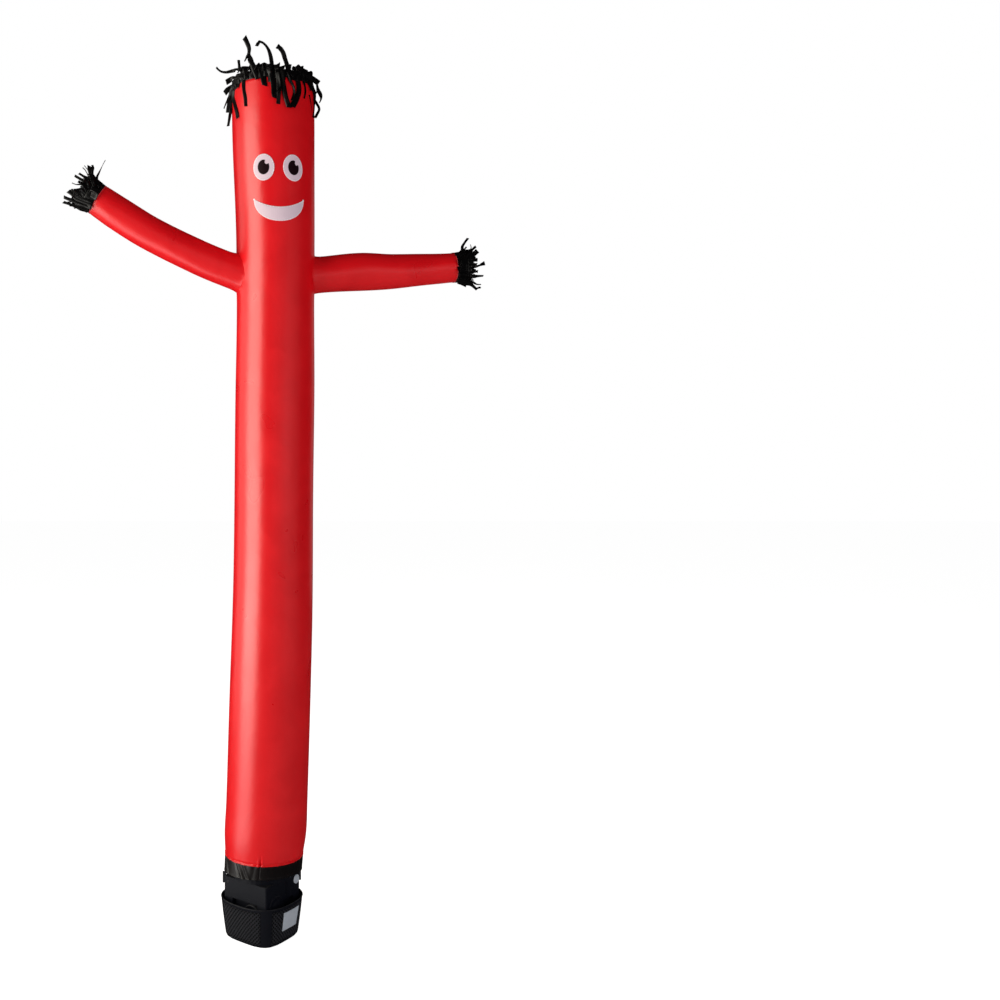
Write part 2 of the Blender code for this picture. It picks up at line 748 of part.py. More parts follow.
def make_plate(blower):
    """The blank rating plate on the front right grille."""
    radius = base_point(math.pi / 4, PLATE_HEIGHT).xy.length
    size = (PLATE_SIZE[0] / radius, PLATE_SIZE[1])
    middle = (math.pi / 4 + PLATE_TURN, PLATE_HEIGHT)
    plate = on_side("blank_plate", SILVER_PLASTIC, (6, 3), middle, size, PLATE_LIFT)
    plate.parent = blower
    solidify(plate, PLATE, 1.0)


def block(size, middle):
    """A box, by its size and its middle."""
    bm = bmesh.new()
    bmesh.ops.create_cube(bm, size=1.0)
    bmesh.ops.scale(bm, verts=bm.verts, vec=size)
    bmesh.ops.translate(bm, verts=bm.verts, vec=middle)
    return bm


def cylinder(radius, depth, segments):
    bm = bmesh.new()
    bmesh.ops.create_cone(
        bm, cap_ends=True, segments=segments, radius1=radius, radius2=radius, depth=depth
    )
    return bm


def upright_edges(bm):
    return [e for e in bm.edges if abs(e.verts[0].co.z - e.verts[1].co.z) > 0.01]


def round_edges(bm, edges, width, segments):
    bmesh.ops.bevel(
        bm, geom=edges, offset=width, segments=segments, profile=0.5, affect="EDGES"
    )


def make_housing(blower):
    """The fan housing: a square block stood on its corner's side, which tapers to its
    foot and has an intake in each side."""
    top = HOUSING_TOP - WELL_DEPTH - GAP
    height = top - HOUSING_TAPER_TOP
    bm = block((HOUSING_SIDE, HOUSING_SIDE, height), (0, 0, top - height / 2))
    under = [face for face in bm.faces if face.normal.z < -0.9]
    new = bmesh.ops.extrude_face_region(bm, geom=under)["geom"]
    low = [item for item in new if isinstance(item, bmesh.types.BMVert)]
    bmesh.ops.delete(bm, geom=under, context="FACES")
    share = HOUSING_FOOT_SIDE / HOUSING_SIDE
    bmesh.ops.scale(bm, verts=low, vec=(share, share, 1))
    for vert in low:
        vert.co.z = WALL + GAP
    bmesh.ops.recalc_face_normals(bm, faces=bm.faces)
    round_edges(bm, upright_edges(bm), HOUSING_CORNER, 3)
    housing = add("blower_housing", bm, BLACK_PLASTIC, blower)
    housing.rotation_euler.z = math.pi / 4
    for i in range(4):
        recess = block(INTAKE_SIZE, (0, -HOUSING_SIDE / 2, INTAKE_HEIGHT))
        intake = add_cutter("intake_%d" % i, recess, blower)
        intake.rotation_euler.z = math.pi / 4 + i * math.pi / 2
        cut(housing, intake)


def make_collar(blower):
    """The fan collar on the housing: a square frame round the fan's well, with a groove
    where its halves meet."""
    middle = HOUSING_TOP - WELL_DEPTH / 2
    bm = block((HOUSING_SIDE, HOUSING_SIDE, WELL_DEPTH), (0, 0, middle))
    round_edges(bm, upright_edges(bm), HOUSING_CORNER, 3)
    collar = add("fan_collar", bm, BLACK_PLASTIC, blower)
    collar.rotation_euler.z = math.pi / 4
    well = add_cutter("fan_well", cylinder(WELL_RADIUS, 2 * WELL_DEPTH, 32), blower)
    well.location.z = middle
    cut(collar, well)
    for i in range(2):
        slot = block(GROOVE_SIZE, (GROOVE_SHIFT, -HOUSING_SIDE / 2, middle))
        groove = add_cutter("groove_%d" % i, slot, blower)
        groove.rotation_euler.z = math.pi / 4 + i * math.pi
        cut(collar, groove)
    return collar


def make_latches(blower, collar):
    """The latches in the collar's side corners, which hold its halves together."""
    reach = HOUSING_SIDE / math.sqrt(2) + LATCH_PROUD - LATCH_SIZE[0] / 2
    for side, word in ((-1, "left"), (1, "right")):
        low, top = LATCH_HEIGHTS[word]
        height = top - low
        middle = (side * reach, 0, low + height / 2)
        latch = block((LATCH_SIZE[0], LATCH_SIZE[1], height), middle)
        round_edges(latch, list(latch.edges), 0.0012, 2)
        add("latch_" + word, latch, GREY_PLASTIC, blower)
        size = (LATCH_SIZE[0] + 2 * GAP, LATCH_SIZE[1] + 2 * GAP, height + 2 * GAP)
        cut(collar, add_cutter("latch_seat_" + word, block(size, middle), blower))


def make_ring(blower):
    """The outlet ring: a narrow neck on the collar that flares to the cuff's seat."""
    low = HOUSING_TOP + GAP
    outline = (
        (RING_LIP_RADIUS - 0.001, RING_TOP),
        (RING_LIP_RADIUS, RING_TOP - 0.001),
        (RING_LIP_RADIUS, RING_TOP - 0.026),
        (NECK_RADIUS, low + 0.022),
        (NECK_RADIUS, low),
        (NECK_RADIUS - 0.014, low),
        (NECK_RADIUS - 0.014, low + 0.004),
        (NECK_RADIUS - 0.004, low + 0.024),
        (RING_LIP_RADIUS - 0.005, RING_TOP - 0.020),
        (RING_LIP_RADIUS - 0.005, RING_TOP),
    )
    bm = bmesh.new()
    corners = [bm.verts.new((radius, 0, height)) for radius, height in outline]
    for i, corner in enumerate(corners):
        bm.edges.new((corner, corners[(i + 1) % len(corners)]))
    ring = add("outlet_ring", bm, BLACK_PLASTIC, blower)
    screw = ring.modifiers.new("turned", "SCREW")
    screw.steps = screw.render_steps = 40
    screw.use_merge_vertices = True
    screw.merge_threshold = 0.0001


def seat_on_collar(disc, turn, place, depth):
    """Seats a disc on the collar side that faces the turn, at a place given along the
    side from its middle, and by height."""
    sideways = Vector((math.cos(turn), math.sin(turn), 0))
    outward = Vector((math.sin(turn), -math.cos(turn), 0))
    out = HOUSING_SIDE / 2 + GAP + depth / 2
    disc.location = sideways * place[0] + outward * out + Vector((0, 0, place[1]))
    disc.rotation_euler = (math.pi / 2, 0, turn)


def make_badge(blower):
    """The blank round badge near the right end of the front right side."""
    badge = add("badge_disc", cylinder(BADGE_RADIUS, BADGE_DEPTH, 28), SILVER_PLASTIC, blower)
    seat_on_collar(badge, math.pi / 4, BADGE_PLACE, BADGE_DEPTH)


def make_gland(blower):
    """The gland at the back where the power cord leaves the collar."""
    gland = add("cord_gland", cylinder(GLAND_RADIUS, GLAND_DEPTH, 20), GREY_PLASTIC, blower)
    seat_on_collar(gland, math.pi * 5 / 4, GLAND_PLACE, GLAND_DEPTH)


def make_blower():
    blower = bpy.data.objects.new("blower", None)
    bpy.data.collections["air_dancer"].objects.link(blower)
    blower.rotation_euler.z = BLOWER_TURN
    make_base(blower)
    make_grilles(blower)
    make_plate(blower)
    make_housing(blower)
    collar = make_collar(blower)
    make_latches(blower, collar)
    make_ring(blower)
    make_badge(blower)
    make_gland(blower)


def main():
    clear_scene()
    collection("air_dancer")
    collection("cutters").hide_render = True
    make_blower()
    make_cuff()
    tube = make_tube()
    make_arm("arm_left", LEFT_ARM, -1, tube)
    make_arm("arm_right", RIGHT_ARM, 1, tube)
    make_head_fringe()
    make_hand_fringe("hand_fringe_left", LEFT_ARM, -1)
    make_hand_fringe("hand_fringe_right", RIGHT_ARM, 1)
    make_face()


if __name__ == "__main__":
    main()
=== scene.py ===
"""Dresses an inflatable air dancer, and the blower that it stands on, in cloth, thread
and moulded plastic."""

import math
import random
from collections import namedtuple

import bpy
import numpy as np
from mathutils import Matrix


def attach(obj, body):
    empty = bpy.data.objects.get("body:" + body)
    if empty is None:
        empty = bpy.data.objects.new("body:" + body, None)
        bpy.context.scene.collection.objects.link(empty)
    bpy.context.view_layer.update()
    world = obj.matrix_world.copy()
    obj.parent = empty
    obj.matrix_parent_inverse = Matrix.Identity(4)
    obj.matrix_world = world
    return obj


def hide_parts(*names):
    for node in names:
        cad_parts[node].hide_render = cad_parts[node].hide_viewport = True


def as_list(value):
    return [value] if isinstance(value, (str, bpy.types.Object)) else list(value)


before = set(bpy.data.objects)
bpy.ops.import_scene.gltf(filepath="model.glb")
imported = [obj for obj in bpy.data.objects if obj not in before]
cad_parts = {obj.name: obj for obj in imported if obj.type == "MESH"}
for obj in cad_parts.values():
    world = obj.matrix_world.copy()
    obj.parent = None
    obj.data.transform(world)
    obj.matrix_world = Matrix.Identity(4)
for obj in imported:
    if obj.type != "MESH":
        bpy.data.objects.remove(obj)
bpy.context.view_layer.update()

bl_info = {
    "name": "Air dancer",
    "version": (1, 0, 0),
    "blender": (4, 5, 0),
    "location": "3D View > Sidebar > Air dancer",
    "description": "Makes the cloth, fringes, face and blower of an air dancer",
    "category": "Object",
}

# ---- Sizes, in metres ---------------------------------------------------------------

# The body's outline: height, place sideways and radius.
BODY = np.array(
    (
        (0.306, 0.008, 0.1485),
        (0.390, 0.013, 0.1560),
        (0.500, 0.018, 0.1550),
        (0.870, 0.030, 0.1540),
        (1.250, 0.040, 0.1520),
        (1.640, 0.045, 0.1505),
        (2.030, 0.049, 0.1500),
        (2.370, 0.051, 0.1470),
        (2.670, 0.051, 0.1500),
        (2.980, 0.044, 0.1560),
        (3.110, 0.042, 0.1570),
        (3.200, 0.040, 0.1545),
    )
)
FOOT, HEM = BODY[0, 0], BODY[-1, 0]
SIDEWAYS, RADIUS = 1, 2
BODY_RADIUS = 0.152  # about its whole height

# An arm's outline: reach from the body's axis, height and radius.
LEFT_ARM = np.array(
    (
        (0.000, 2.452, 0.0645),
        (0.145, 2.505, 0.0645),
        (0.296, 2.561, 0.0640),
        (0.476, 2.645, 0.0635),
        (0.594, 2.713, 0.0620),
        (0.668, 2.761, 0.0585),
    )
)
RIGHT_ARM = np.array(
    (
        (0.000, 2.493, 0.0680),
        (0.150, 2.506, 0.0680),
        (0.331, 2.525, 0.0725),
        (0.459, 2.530, 0.0660),
        (0.589, 2.542, 0.0605),
        (0.708, 2.553, 0.0570),
    )
)
HEIGHT = 1
ARM_AXIS_X = 0.051
ARM_TURN = math.radians(9.5)
ROOT_REACH = 0.148  # from the body's axis to an arm's hole
Arm = namedtuple("Arm", "word outline side")
ARMS = (Arm("left", LEFT_ARM, -1), Arm("right", RIGHT_ARM, 1))

CLEARANCE = 0.0003  # between pieces that touch
TUCK = 0.007  # how far a sleeve's end runs up inside its fringe's band
TUCK_STEP = 0.0018  # how far it steps in there
TUCK_RUN = 0.004  # over which length
SLEEVE_RADIUS = 0.063
SLEEVE_FLARE = 0.0052  # how far a sleeve spreads where it is sewn in
ROOT_INSET = 0.0004  # how far its root starts inside the body's cloth
ARM_OPENING = 0.85  # how much of an arm's radius is open in the body's cloth
PLEAT_ANGLE = -0.100  # where the foot's deep pleat lies
CUFF_RADIUS = 0.1475
CUFF_HEM_X = 0.004
CUFF_HEM_SIDE_Z = 0.240
CUFF_HEM_RISE = 0.016
CUFF_HEM_TILT = 0.003
CUFF_LAP = -6.4  # where its ends lie over each other, in degrees
CUFF_TOP = FOOT - CLEARANCE
# The cuff's folds: the angle at its top and at its hem, half width and height.
CUFF_FOLDS = (
    (-77, -66, 3.0, 0.0018),
    (-70, -60, 2.2, -0.0018),
    (-46, -37, 1.8, -0.0026),
    (-42, -31, 2.0, 0.0028),
    (-36, -26, 1.8, -0.0024),
    (-31, -21, 2.2, 0.0020),
    (-14, -17, 3.0, -0.0010),
    (22, 34, 4.0, 0.0010),
    (58, 50, 3.0, -0.0010),
    (118, 106, 3.0, 0.0020),
    (150, 163, 3.0, -0.0018),
    (-150, -139, 3.0, 0.0019),
    (-112, -124, 3.0, -0.0016),
)

# Beads' widths and heights.
BACK_SEAM = (0.010, 0.0011)
CUFF_ROLL = (0.0035, 0.0010)
FOOT_PIPING = (0.0048, 0.0026)
HAND_PIPING = (0.0030, 0.0018)
LEDGE = (0.0026, 0.0014)
PLATE_LINE = (0.0012, 0.0004)

# Where the rows of stitches run: up from the foot seam, as shares of the foot band's and
# a fringe band's height, down from the head's hem, and as angles from the back seam.
FOOT_ROWS = (0.0075, 0.0125)
CUFF_ROWS = (0.12, 0.90)
BAND_ROWS = (0.14, 0.82)
HEM_ROW = 0.005
BACK_ROWS = (-0.018, 0.018)
STITCH_HEIGHT = 0.0005

FACE_TURN = math.radians(5.5)
PATCH = 0.0008
EYE_SIZE = (0.080, 0.097)
EYE_SPACING = 0.1125
EYE_HEIGHT = 2.871
EYE_SHARE, PUPIL_SHARE = 0.785, 0.75  # how much of its box each patch fills
PUPIL_SIZE = (0.043, 0.0535)
GLINT_RADIUS = 0.0075
GLINT_PLACE = (0.0125, 0.0175)
MOUTH_HALF_WIDTH = 0.098
MOUTH_TIP_Z = 2.759
MOUTH_TIP = 0.002  # how high its blunt tips are
MOUTH_UPPER_SAG = 0.033
MOUTH_LOWER_SAG = 0.083
MOUTH_SIZE, MOUTH_AREA = (0.196, 0.085), 0.0085
# Each layer's border: its width, thread and slot. Eyes and mouth are the lower layer.
BORDERS = ((0.0052, "white_thread", "white_cloth"), (0.0022, "black_thread", "black_cloth"))
BORDER_STITCH = (0.0011, 0.0010, 0.0012)  # its pitch, thickness and height
BORDER_SLANT = math.pi / 2 - 0.2

BLOWER_TURN = math.radians(6.0)
WALL = 0.003
BASE_HEIGHT = 0.147
BASE_FLOOR = (0.117, 3.6)  # half the width across the faces, superellipse exponent
BASE_RIM = (0.143, 2.6)
BASE_COLUMN = 0.044
WINDOW_LOW, WINDOW_HIGH = 0.009, 0.137
GRILLE_RADIUS = 0.128  # how far an angle of the base's side reaches along it
GRILLE_PLAY, GRILLE_THICKNESS = 0.0006, 0.0024
SIDES = ("front_right", "back_right", "back_left", "front_left")
SLOT_SHARES = (0.84, 0.60)  # a slot's share of its cell, along the rows and across
SLOT_CORNERS = np.array(((1, -1), (1, 1), (-1, 1), (-1, -1)))
RIM_HALF, RIM_DROP = (0.0028, 0.0024), 0.0012
SCREEN_INSET, SCREEN_THICKNESS = 0.0022, 0.0010
HOUSING_SIDE = 0.2050
PLATE_SIZE = (0.085, 0.071)
PLATE_TURN = 0.030
PLATE_HEIGHT = 0.088
PLATE_RADIUS = 0.1465  # the base's radius there
PLATE_FACE = 0.0021  # the plate's front, outside the base's side
BADGE_RADIUS = 0.0165
GLAND_RADIUS = 0.009
GLAND_LENGTH = 14.3  # in millimetres
# Places on a side of the housing: along it, height and out.
BADGE_PLACE = (0.0790, 0.2055, 0.0023)
GLAND_PLACE = (0.050, 0.190, 0.0003)
SCREW_SPACINGS = ((), (-0.080, 0.080), (-0.080, 0.080), (-0.082,))  # side by side
SCREW_HEIGHT, SCREW_RADIUS = 0.206, 0.0056
LEDGE_ENDS, LEDGE_HEIGHT = (0.038, 0.086), 0.1790
# The round covers in the intakes: place along the side, height and radius.
COVERS = ((-0.043, 0.135, 0.043), (0.033, 0.108, 0.038))

# Turned shapes. An edge's pairs are millimetres in from the rim and out of the side, and
# a dish's pairs are a share of the radius and millimetres out.
SCREW_EDGE = (
    (0, -0.2), (0, 0.8), (0.6, 1.1), (2.0, 1.1), (2.2, 0.2), (2.6, 0.2), (2.7, 0.9),
    (4.4, 1.4), (4.6, 0.4),
)
COVER_EDGE = ((0, -14.5), (0, -1.0), (1.2, 1.6), (3.6, 2.6), (6.2, 1.6), (7.6, -0.8))
COVER_DISH = ((0.5, 0.6), (0.45, 2.2), (0.2, 3.0), (0, 3.2))
BADGE_EDGE = ((0, -1.2), (0, 0.4), (0.8, 0.8), (2.2, 0.6), (2.6, 0.1))
BADGE_DISH = ((0.5, 0.5), (0, 0.6))

# One ribbon of a fringe. number counts ribbons from the front of the band towards the
# right. lean is the angle away from the band's axis, at the root and at the tip: 90
# points straight outward and 180 folds right back. side is the angle that it leans
# sideways, and roll turns it about its own length. Angles are in degrees, and places
# along it are shares of its length.
Ribbon = namedtuple(
    "Ribbon",
    "number length lean_root lean_tip bend_at bend_over"
    " side_root side_tip side_from roll roll_from",
)
HEAD_COUNT = 42
HAND_COUNT = 24
HEAD_BAND = 0.031
HAND_BAND = 0.040
HAND_FLARE = 0.004
RIBBON_SHARE = 0.84  # of the pitch: the rest is the slit
RIBBON_ROWS, STRAND_ROWS, RIBBON_COLUMNS = 49, 41, 5
RIBBON_SWELL = 1.15  # how much wider a ribbon gets past its root
HAIR_BACK = range(15, 28)  # the ribbons that hang behind the head
BARE_SIDES = range(7, 15)  # tufts left out, from the front: ribbons stream out there
SEED = 5

# One measured ribbon of a fringe, as the front shows it: its width at root and tip, how
# far its face turns away from the front there, in degrees, how far it stands off the
# fringe's round, and the places of its middle line. The hair's places are across and up
# from the hem's middle, with a third number where the ribbon stands up: how far forward
# it is. A hand's places are up and out from its hem's middle. Lengths are in millimetres.
Strand = namedtuple("Strand", "width_root width_tip roll_root roll_tip lift places")
HEAD_STRANDS = (
    Strand(23, 20, 10, 0, 6, ((-53, -7, 152), (-66, 26, 152), (-82, 61, 150))),
    Strand(22, 12, 0, 0, 7, ((-80, 56, 150), (-85, 73, 149), (-89, 89, 148))),
    Strand(13, 19, -15, 0, 6, ((-88, 86, 148), (-87, 105, 147), (-95, 129, 145),
        (-105, 149, 144))),
    Strand(13, 4, 0, 30, 8, ((-88, 82, 149), (-96, 72, 151), (-104, 56, 153))),
    Strand(17, 10, 0, 15, 4, ((-2, 17, 155), (-5, 54, 154), (-9, 78, 153), (-17, 101, 152),
        (-28, 118, 151), (-40, 128, 150), (-50, 131, 150))),
    Strand(11, 12, 0, 0, 6, ((-47, 132, 151), (-54, 123, 153), (-60, 112, 155))),
    Strand(18, 16, 5, -5, 4, ((61, 12, 148), (53, 42, 148), (44, 70, 147), (37, 92, 146),
        (30, 104, 146))),
    Strand(16, 18, 0, 0, 6, ((33, 99, 147), (26, 107, 148), (15, 115, 149))),
    Strand(11, 10, 0, 0, 2, ((-123, 47), (-125, 67), (-127, 86))),
    Strand(24, 8, 0, 0, 4, ((-88, 35), (-118, 48), (-153, 70), (-176, 65), (-195, 68),
        (-205, 75), (-213, 84))),
    Strand(11, 7, 60, 40, 6, ((-99, 32), (-129, 49), (-157, 67))),
    Strand(17, 19, 0, 0, 8, ((-101, 3), (-111, 18), (-122, 24), (-139, 29), (-159, 36),
        (-176, 25))),
    Strand(17, 13, 0, 0, 4, ((-108, 11), (-120, 8), (-124, -5))),
    Strand(18, 19, 0, 10, 8, ((-125, -11), (-141, -4), (-156, 7), (-170, -3), (-181, -17))),
    Strand(24, 21, -10, 10, 10, ((-137, -7), (-150, -14), (-157, -30), (-162, -57), (-166, -90))),
    Strand(10, 4, 0, 0, 12, ((-157, -12), (-168, -39), (-178, -60), (-184, -75))),
    Strand(15, 14, 35, 20, 12, ((-147, -14), (-148, -39), (-142, -71), (-135, -102),
        (-130, -131))),
    Strand(15, 11, -20, -10, 7, ((-141, -10), (-155, -29), (-156, -71), (-159, -90))),
    Strand(11, 10, 0, 0, 14, ((-158, -73), (-161, -100), (-164, -119), (-168, -142))),
    Strand(14, 16, 0, 0, 7, ((-108, 16), (-108, -9), (-104, -48), (-100, -74), (-98, -98))),
    Strand(28, 20, -30, -10, 7, ((-45, 43), (-42, 21), (-35, -6), (-30, -34))),
    Strand(26, 15, 15, 40, 9, ((-22, 42), (-16, 18), (-11, -6), (-13, -22))),
    Strand(24, 26, -25, -30, 9, ((-2, 10), (1, -15), (4, -44), (6, -66), (10, -83))),
    Strand(17, 15, 20, 0, 12, ((15, 13), (20, -16), (22, -52), (21, -78), (19, -103))),
    Strand(7, 4, -60, -60, 17, ((29, -43), (20, -52), (10, -67), (2, -82))),
    Strand(18, 18, 10, 0, 11, ((35, 22), (35, -11), (40, -43), (47, -75), (58, -107))),
    Strand(17, 22, -10, -20, 10, ((83, 12), (94, -15), (96, -40), (89, -71), (72, -105))),
    Strand(10, 11, 30, 20, 8, ((48, 17), (61, -7), (77, -37), (78, -58), (70, -84))),
    Strand(13, 13, 0, 0, 14, ((51, -105), (64, -107), (77, -101))),
    Strand(13, 7, -45, -40, 6, ((52, 26), (61, 5), (68, -19))),
    Strand(22, 20, 0, 0, 12, ((87, -10), (89, 9), (93, 26))),
    Strand(30, 26, 0, 0, 15, ((104, -6), (104, 16), (103, 37))),
    Strand(22, 18, 0, 0, 13, ((119, 0), (120, 19), (116, 34))),
    Strand(16, 16, 0, 0, 13, ((70, 4), (78, 13), (89, 25), (104, 36), (118, 36), (127, 27))),
    Strand(17, 21, 0, 0, 8, ((119, 28), (133, 37), (146, 35), (160, 33), (175, 21))),
    Strand(13, 9, -50, -60, 14, ((123, 28), (132, 14), (139, -3), (142, -23))),
    Strand(8, 6, 20, 0, 8, ((112, 3), (119, -16), (121, -38), (116, -64))),
    Strand(7, 5, 0, 0, 8, ((139, 14), (151, 7), (160, -5))),
    Strand(9, 16, 0, 0, 6, ((168, 16), (171, 1), (176, -14))),
    Strand(16, 4, 0, 0, 6, ((176, -10), (182, -23), (183, -37), (177, -51))),
    Strand(16, 15, 10, 0, 8, ((133, 21), (147, -1), (157, -22), (153, -61), (147, -115))),
    Strand(10, 9, 0, 0, 8, ((127, 10), (144, -9), (166, -15))),
    Strand(10, 10, 0, 0, 10, ((155, -38), (167, -56), (176, -77), (168, -95), (160, -110))),
    Strand(9, 6, 0, 0, 5, ((135, -40), (141, -74), (146, -110))),
    Strand(20, 18, 0, 0, 8, ((-97, 2), (-98, 24), (-100, 49))),
    Strand(20, 18, 0, 0, 6, ((-77, 1), (-71, 22), (-66, 42))),
    Strand(18, 17, 0, 0, 10, ((-44, -6), (-43, 23), (-43, 47))),
    Strand(22, 22, 0, 0, 8, ((-24, 0), (-22, 22), (-20, 45))),
    Strand(18, 18, 0, 0, 8, ((17, -7), (16, 18), (15, 38))),
    Strand(20, 20, 0, 0, 8, ((37, -13), (37, 9), (36, 27))),
    Strand(22, 22, 0, 0, 8, ((66, -9), (68, 6), (69, 18))),
)
LEFT_STRANDS = (
    Strand(11, 2.2, 0, 60, 4, ((29, 10), (45, 33), (58, 41), (80, 45), (105, 49), (131, 52))),
    Strand(10, 8, 0, 0, 6, ((23, 28), (38, 47), (51, 59), (69, 67), (79, 71), (87, 81))),
    Strand(10, 22, 0, 0, 8, ((21, 30), (39, 51), (54, 64), (66, 75), (79, 84))),
    Strand(4, 2.2, 0, 0, 6, ((64, 76), (68, 90), (74, 106))),
    Strand(4, 3, 0, 0, 6, ((27, 43), (39, 64), (51, 83), (56, 92), (59, 104))),
    Strand(10, 9, 0, 0, 8, ((35, 35), (39, 57), (34, 78), (34, 104))),
    Strand(17, 9, 0, 0, 6, ((19, 33), (17, 67), (17, 90), (17, 111))),
    Strand(11, 2.9, 0, 0, 5, ((9, 40), (2, 70), (-9, 88), (-11, 104))),
    Strand(26, 15, 20, 10, 10, ((12, 3), (9, 36), (-2, 57), (-15, 66))),
    Strand(26, 18, -20, -10, 8, ((-7, -1), (-10, 28), (-14, 44), (-22, 52))),
    Strand(12, 9, 0, 0, 8, ((-31, 5), (-38, 35), (-43, 60), (-37, 79), (-31, 94))),
    Strand(16, 17, 0, 0, 10, ((-37, 2), (-45, 35), (-49, 62), (-44, 85), (-43, 100))),
    Strand(15, 13, 20, 0, 8, ((-46, 4), (-55, 37), (-62, 67), (-67, 87), (-69, 102))),
    Strand(12, 10, 0, 0, 8, ((-57, 1), (-65, 35), (-75, 67), (-83, 96))),
    Strand(22, 12, 30, 20, 5, ((-60, 4), (-68, 33), (-73, 60))),
    Strand(22, 18, -20, -10, 12, ((-45, -4), (-51, 27), (-61, 55))),
)
RIGHT_STRANDS = (
    Strand(14, 9, 0, 0, 4, ((-42, -4), (-48, 17), (-59, 29), (-73, 32), (-89, 44), (-107, 61))),
    Strand(9, 6, 0, 0, 6, ((-42, 16), (-53, 33), (-63, 40), (-73, 51))),
    Strand(10, 3, 0, 0, 5, ((-32, 0), (-40, 22), (-47, 45), (-56, 59), (-67, 66), (-81, 66))),
    Strand(12, 9, 0, 0, 8, ((-10, 9), (-28, 36), (-46, 54), (-59, 68), (-70, 84))),
    Strand(20, 18, 0, 0, 10, ((-1, 12), (-18, 41), (-36, 66), (-53, 89))),
    Strand(18, 14, 10, 0, 8, ((6, 8), (-9, 40), (-16, 66), (-19, 86))),
    Strand(12, 7, 0, 0, 9, ((10, 7), (9, 39), (11, 70), (4, 92))),
    Strand(7, 16, 0, 0, 9, ((9, 81), (3, 96), (-3, 114))),
    Strand(20, 6, 0, 0, 10, ((21, 3), (21, 34), (20, 62), (31, 83))),
    Strand(26, 7, -25, 0, 8, ((41, 7), (43, 41), (44, 76), (44, 109))),
    Strand(20, 4, 0, 0, 6, ((54, 18), (59, 47), (66, 70), (73, 83), (75, 102))),
    Strand(20, 11, 15, 0, 8, ((57, 9), (66, 34), (72, 57), (84, 72), (94, 83))),
    Strand(6, 8, 0, 0, 8, ((91, 78), (88, 88), (86, 99))),
    Strand(25, 19, 20, 10, 12, ((-10, -4), (-14, 25), (-22, 55))),
    Strand(31, 27, -20, -10, 11, ((20, -6), (22, 23), (22, 52))),
    Strand(27, 23, 10, 0, 10, ((51, 2), (56, 28), (60, 59))),
    Strand(16, 10, 0, 0, 7, ((59, 5), (69, 25), (77, 40))),
)


# ---- The stage ------------------------------------------------------------------------

WHITE = (1.0, 1.0, 1.0)
# The soft panels: place, size, radiance, colour, and whether the gloss shows them.
Lamp = namedtuple("Lamp", "name place size radiance colour glossy")
LAMPS = (
    Lamp("key_panel", (-4.1, -2.05, 2.3), (3.7, 4.7), 4.0, (1.0, 0.96, 0.84), True),
    Lamp("side_panel", (-4.2, 1.1, 2.2), (3.0, 4.4), 0.8, (1.0, 0.95, 0.86), True),
    Lamp("fill_panel", (2.6, -4.4, 2.1), (2.4, 1.3), 0.24, (0.96, 0.94, 1.0), True),
    Lamp("rim_panel", (2.6, 3.6, 2.4), (1.6, 3.4), 0.25, WHITE, True),
    Lamp("wash_right", (4.6, -4.0, 2.0), (4.0, 4.4), 1.45, WHITE, False),
    Lamp("wash_back", (4.0, 4.6, 2.2), (4.0, 4.4), 1.0, WHITE, False),
    Lamp("wash_left", (-4.6, 4.0, 2.2), (4.0, 4.4), 0.7, WHITE, False),
    Lamp("wash_front", (0.6, -6.0, 2.4), (4.0, 4.4), 0.80, WHITE, False),
)
CAMERA_PLACE = (0.0, -3.96, 1.772)
CAMERA_LENS, CAMERA_SENSOR = 37.44, 36.0
CAMERA_SHIFT = (0.238, -0.033)


# ---- Shapes as arrays -----------------------------------------------------------------


def smooth_step(t):
    """0 up to t = 0 and 1 from t = 1, with a level start and end between them."""
    t = np.clip(t, 0.0, 1.0)
    return t * t * (3 - 2 * t)


def between(start, end, share):
    """The value a share of the way from start to end."""
    return start + (end - start) * share


def cubic(start, end, slope, end_slope, span, t):
    """A cubic over a span, from start to end and with a slope at each, at its share t."""
    curve = start * (1 + 2 * t) * (1 - t) ** 2 + end * t * t * (3 - 2 * t)
    return curve + span * (slope * t * (1 - t) ** 2 - end_slope * t * t * (1 - t))


def along(table, column, x):
    """A column of a table at x, its first column: in each span a cubic with the rows'
    values at its ends, and at each row the slope between that row's neighbours."""
    knots, values = table[:, 0], table[:, column]
    rows = np.arange(len(knots))
    before, after = np.maximum(rows - 1, 0), np.minimum(rows + 1, rows[-1])
    slopes = (values[after] - values[before]) / (knots[after] - knots[before])
    i = np.clip(np.searchsorted(knots, x, side="right") - 1, 0, rows[-1] - 1)
    span = knots[i + 1] - knots[i]
    t = (x - knots[i]) / span
    return cubic(values[i], values[i + 1], slopes[i], slopes[i + 1], span, t)


def smooth_line(places, shares):
    """Points on a smooth curve through the places, at shares of its chords' length: in
    each chord a cubic with the places' slopes at its ends."""
    stops = np.append(0, np.cumsum(np.linalg.norm(np.diff(places, axis=0), axis=1)))
    slopes = np.gradient(places, stops, axis=0)
    x = shares * stops[-1]
    k = np.clip(np.searchsorted(stops, x, side="right") - 1, 0, len(stops) - 2)
    step = (stops[k + 1] - stops[k])[:, None]
    t = (x - stops[k])[:, None] / step
    return cubic(places[k], places[k + 1], slopes[k], slopes[k + 1], step, t)


def unit(vectors):
    """The same directions, of length 1."""
    return vectors / np.linalg.norm(vectors, axis=-1, keepdims=True)


def stack(x, y, z):
    """Points from three arrays or numbers, which are spread to one shape."""
    return np.stack(np.broadcast_arrays(x, y, z), axis=-1)


def full_turn(count):
    """Even angles once round, without the last, which is the first again."""
    return np.linspace(0, 2 * math.pi, count, endpoint=False)


def wrapped(angle):
    """The same angle, between minus and plus half a turn."""
    return np.angle(np.exp(1j * np.asarray(angle)))


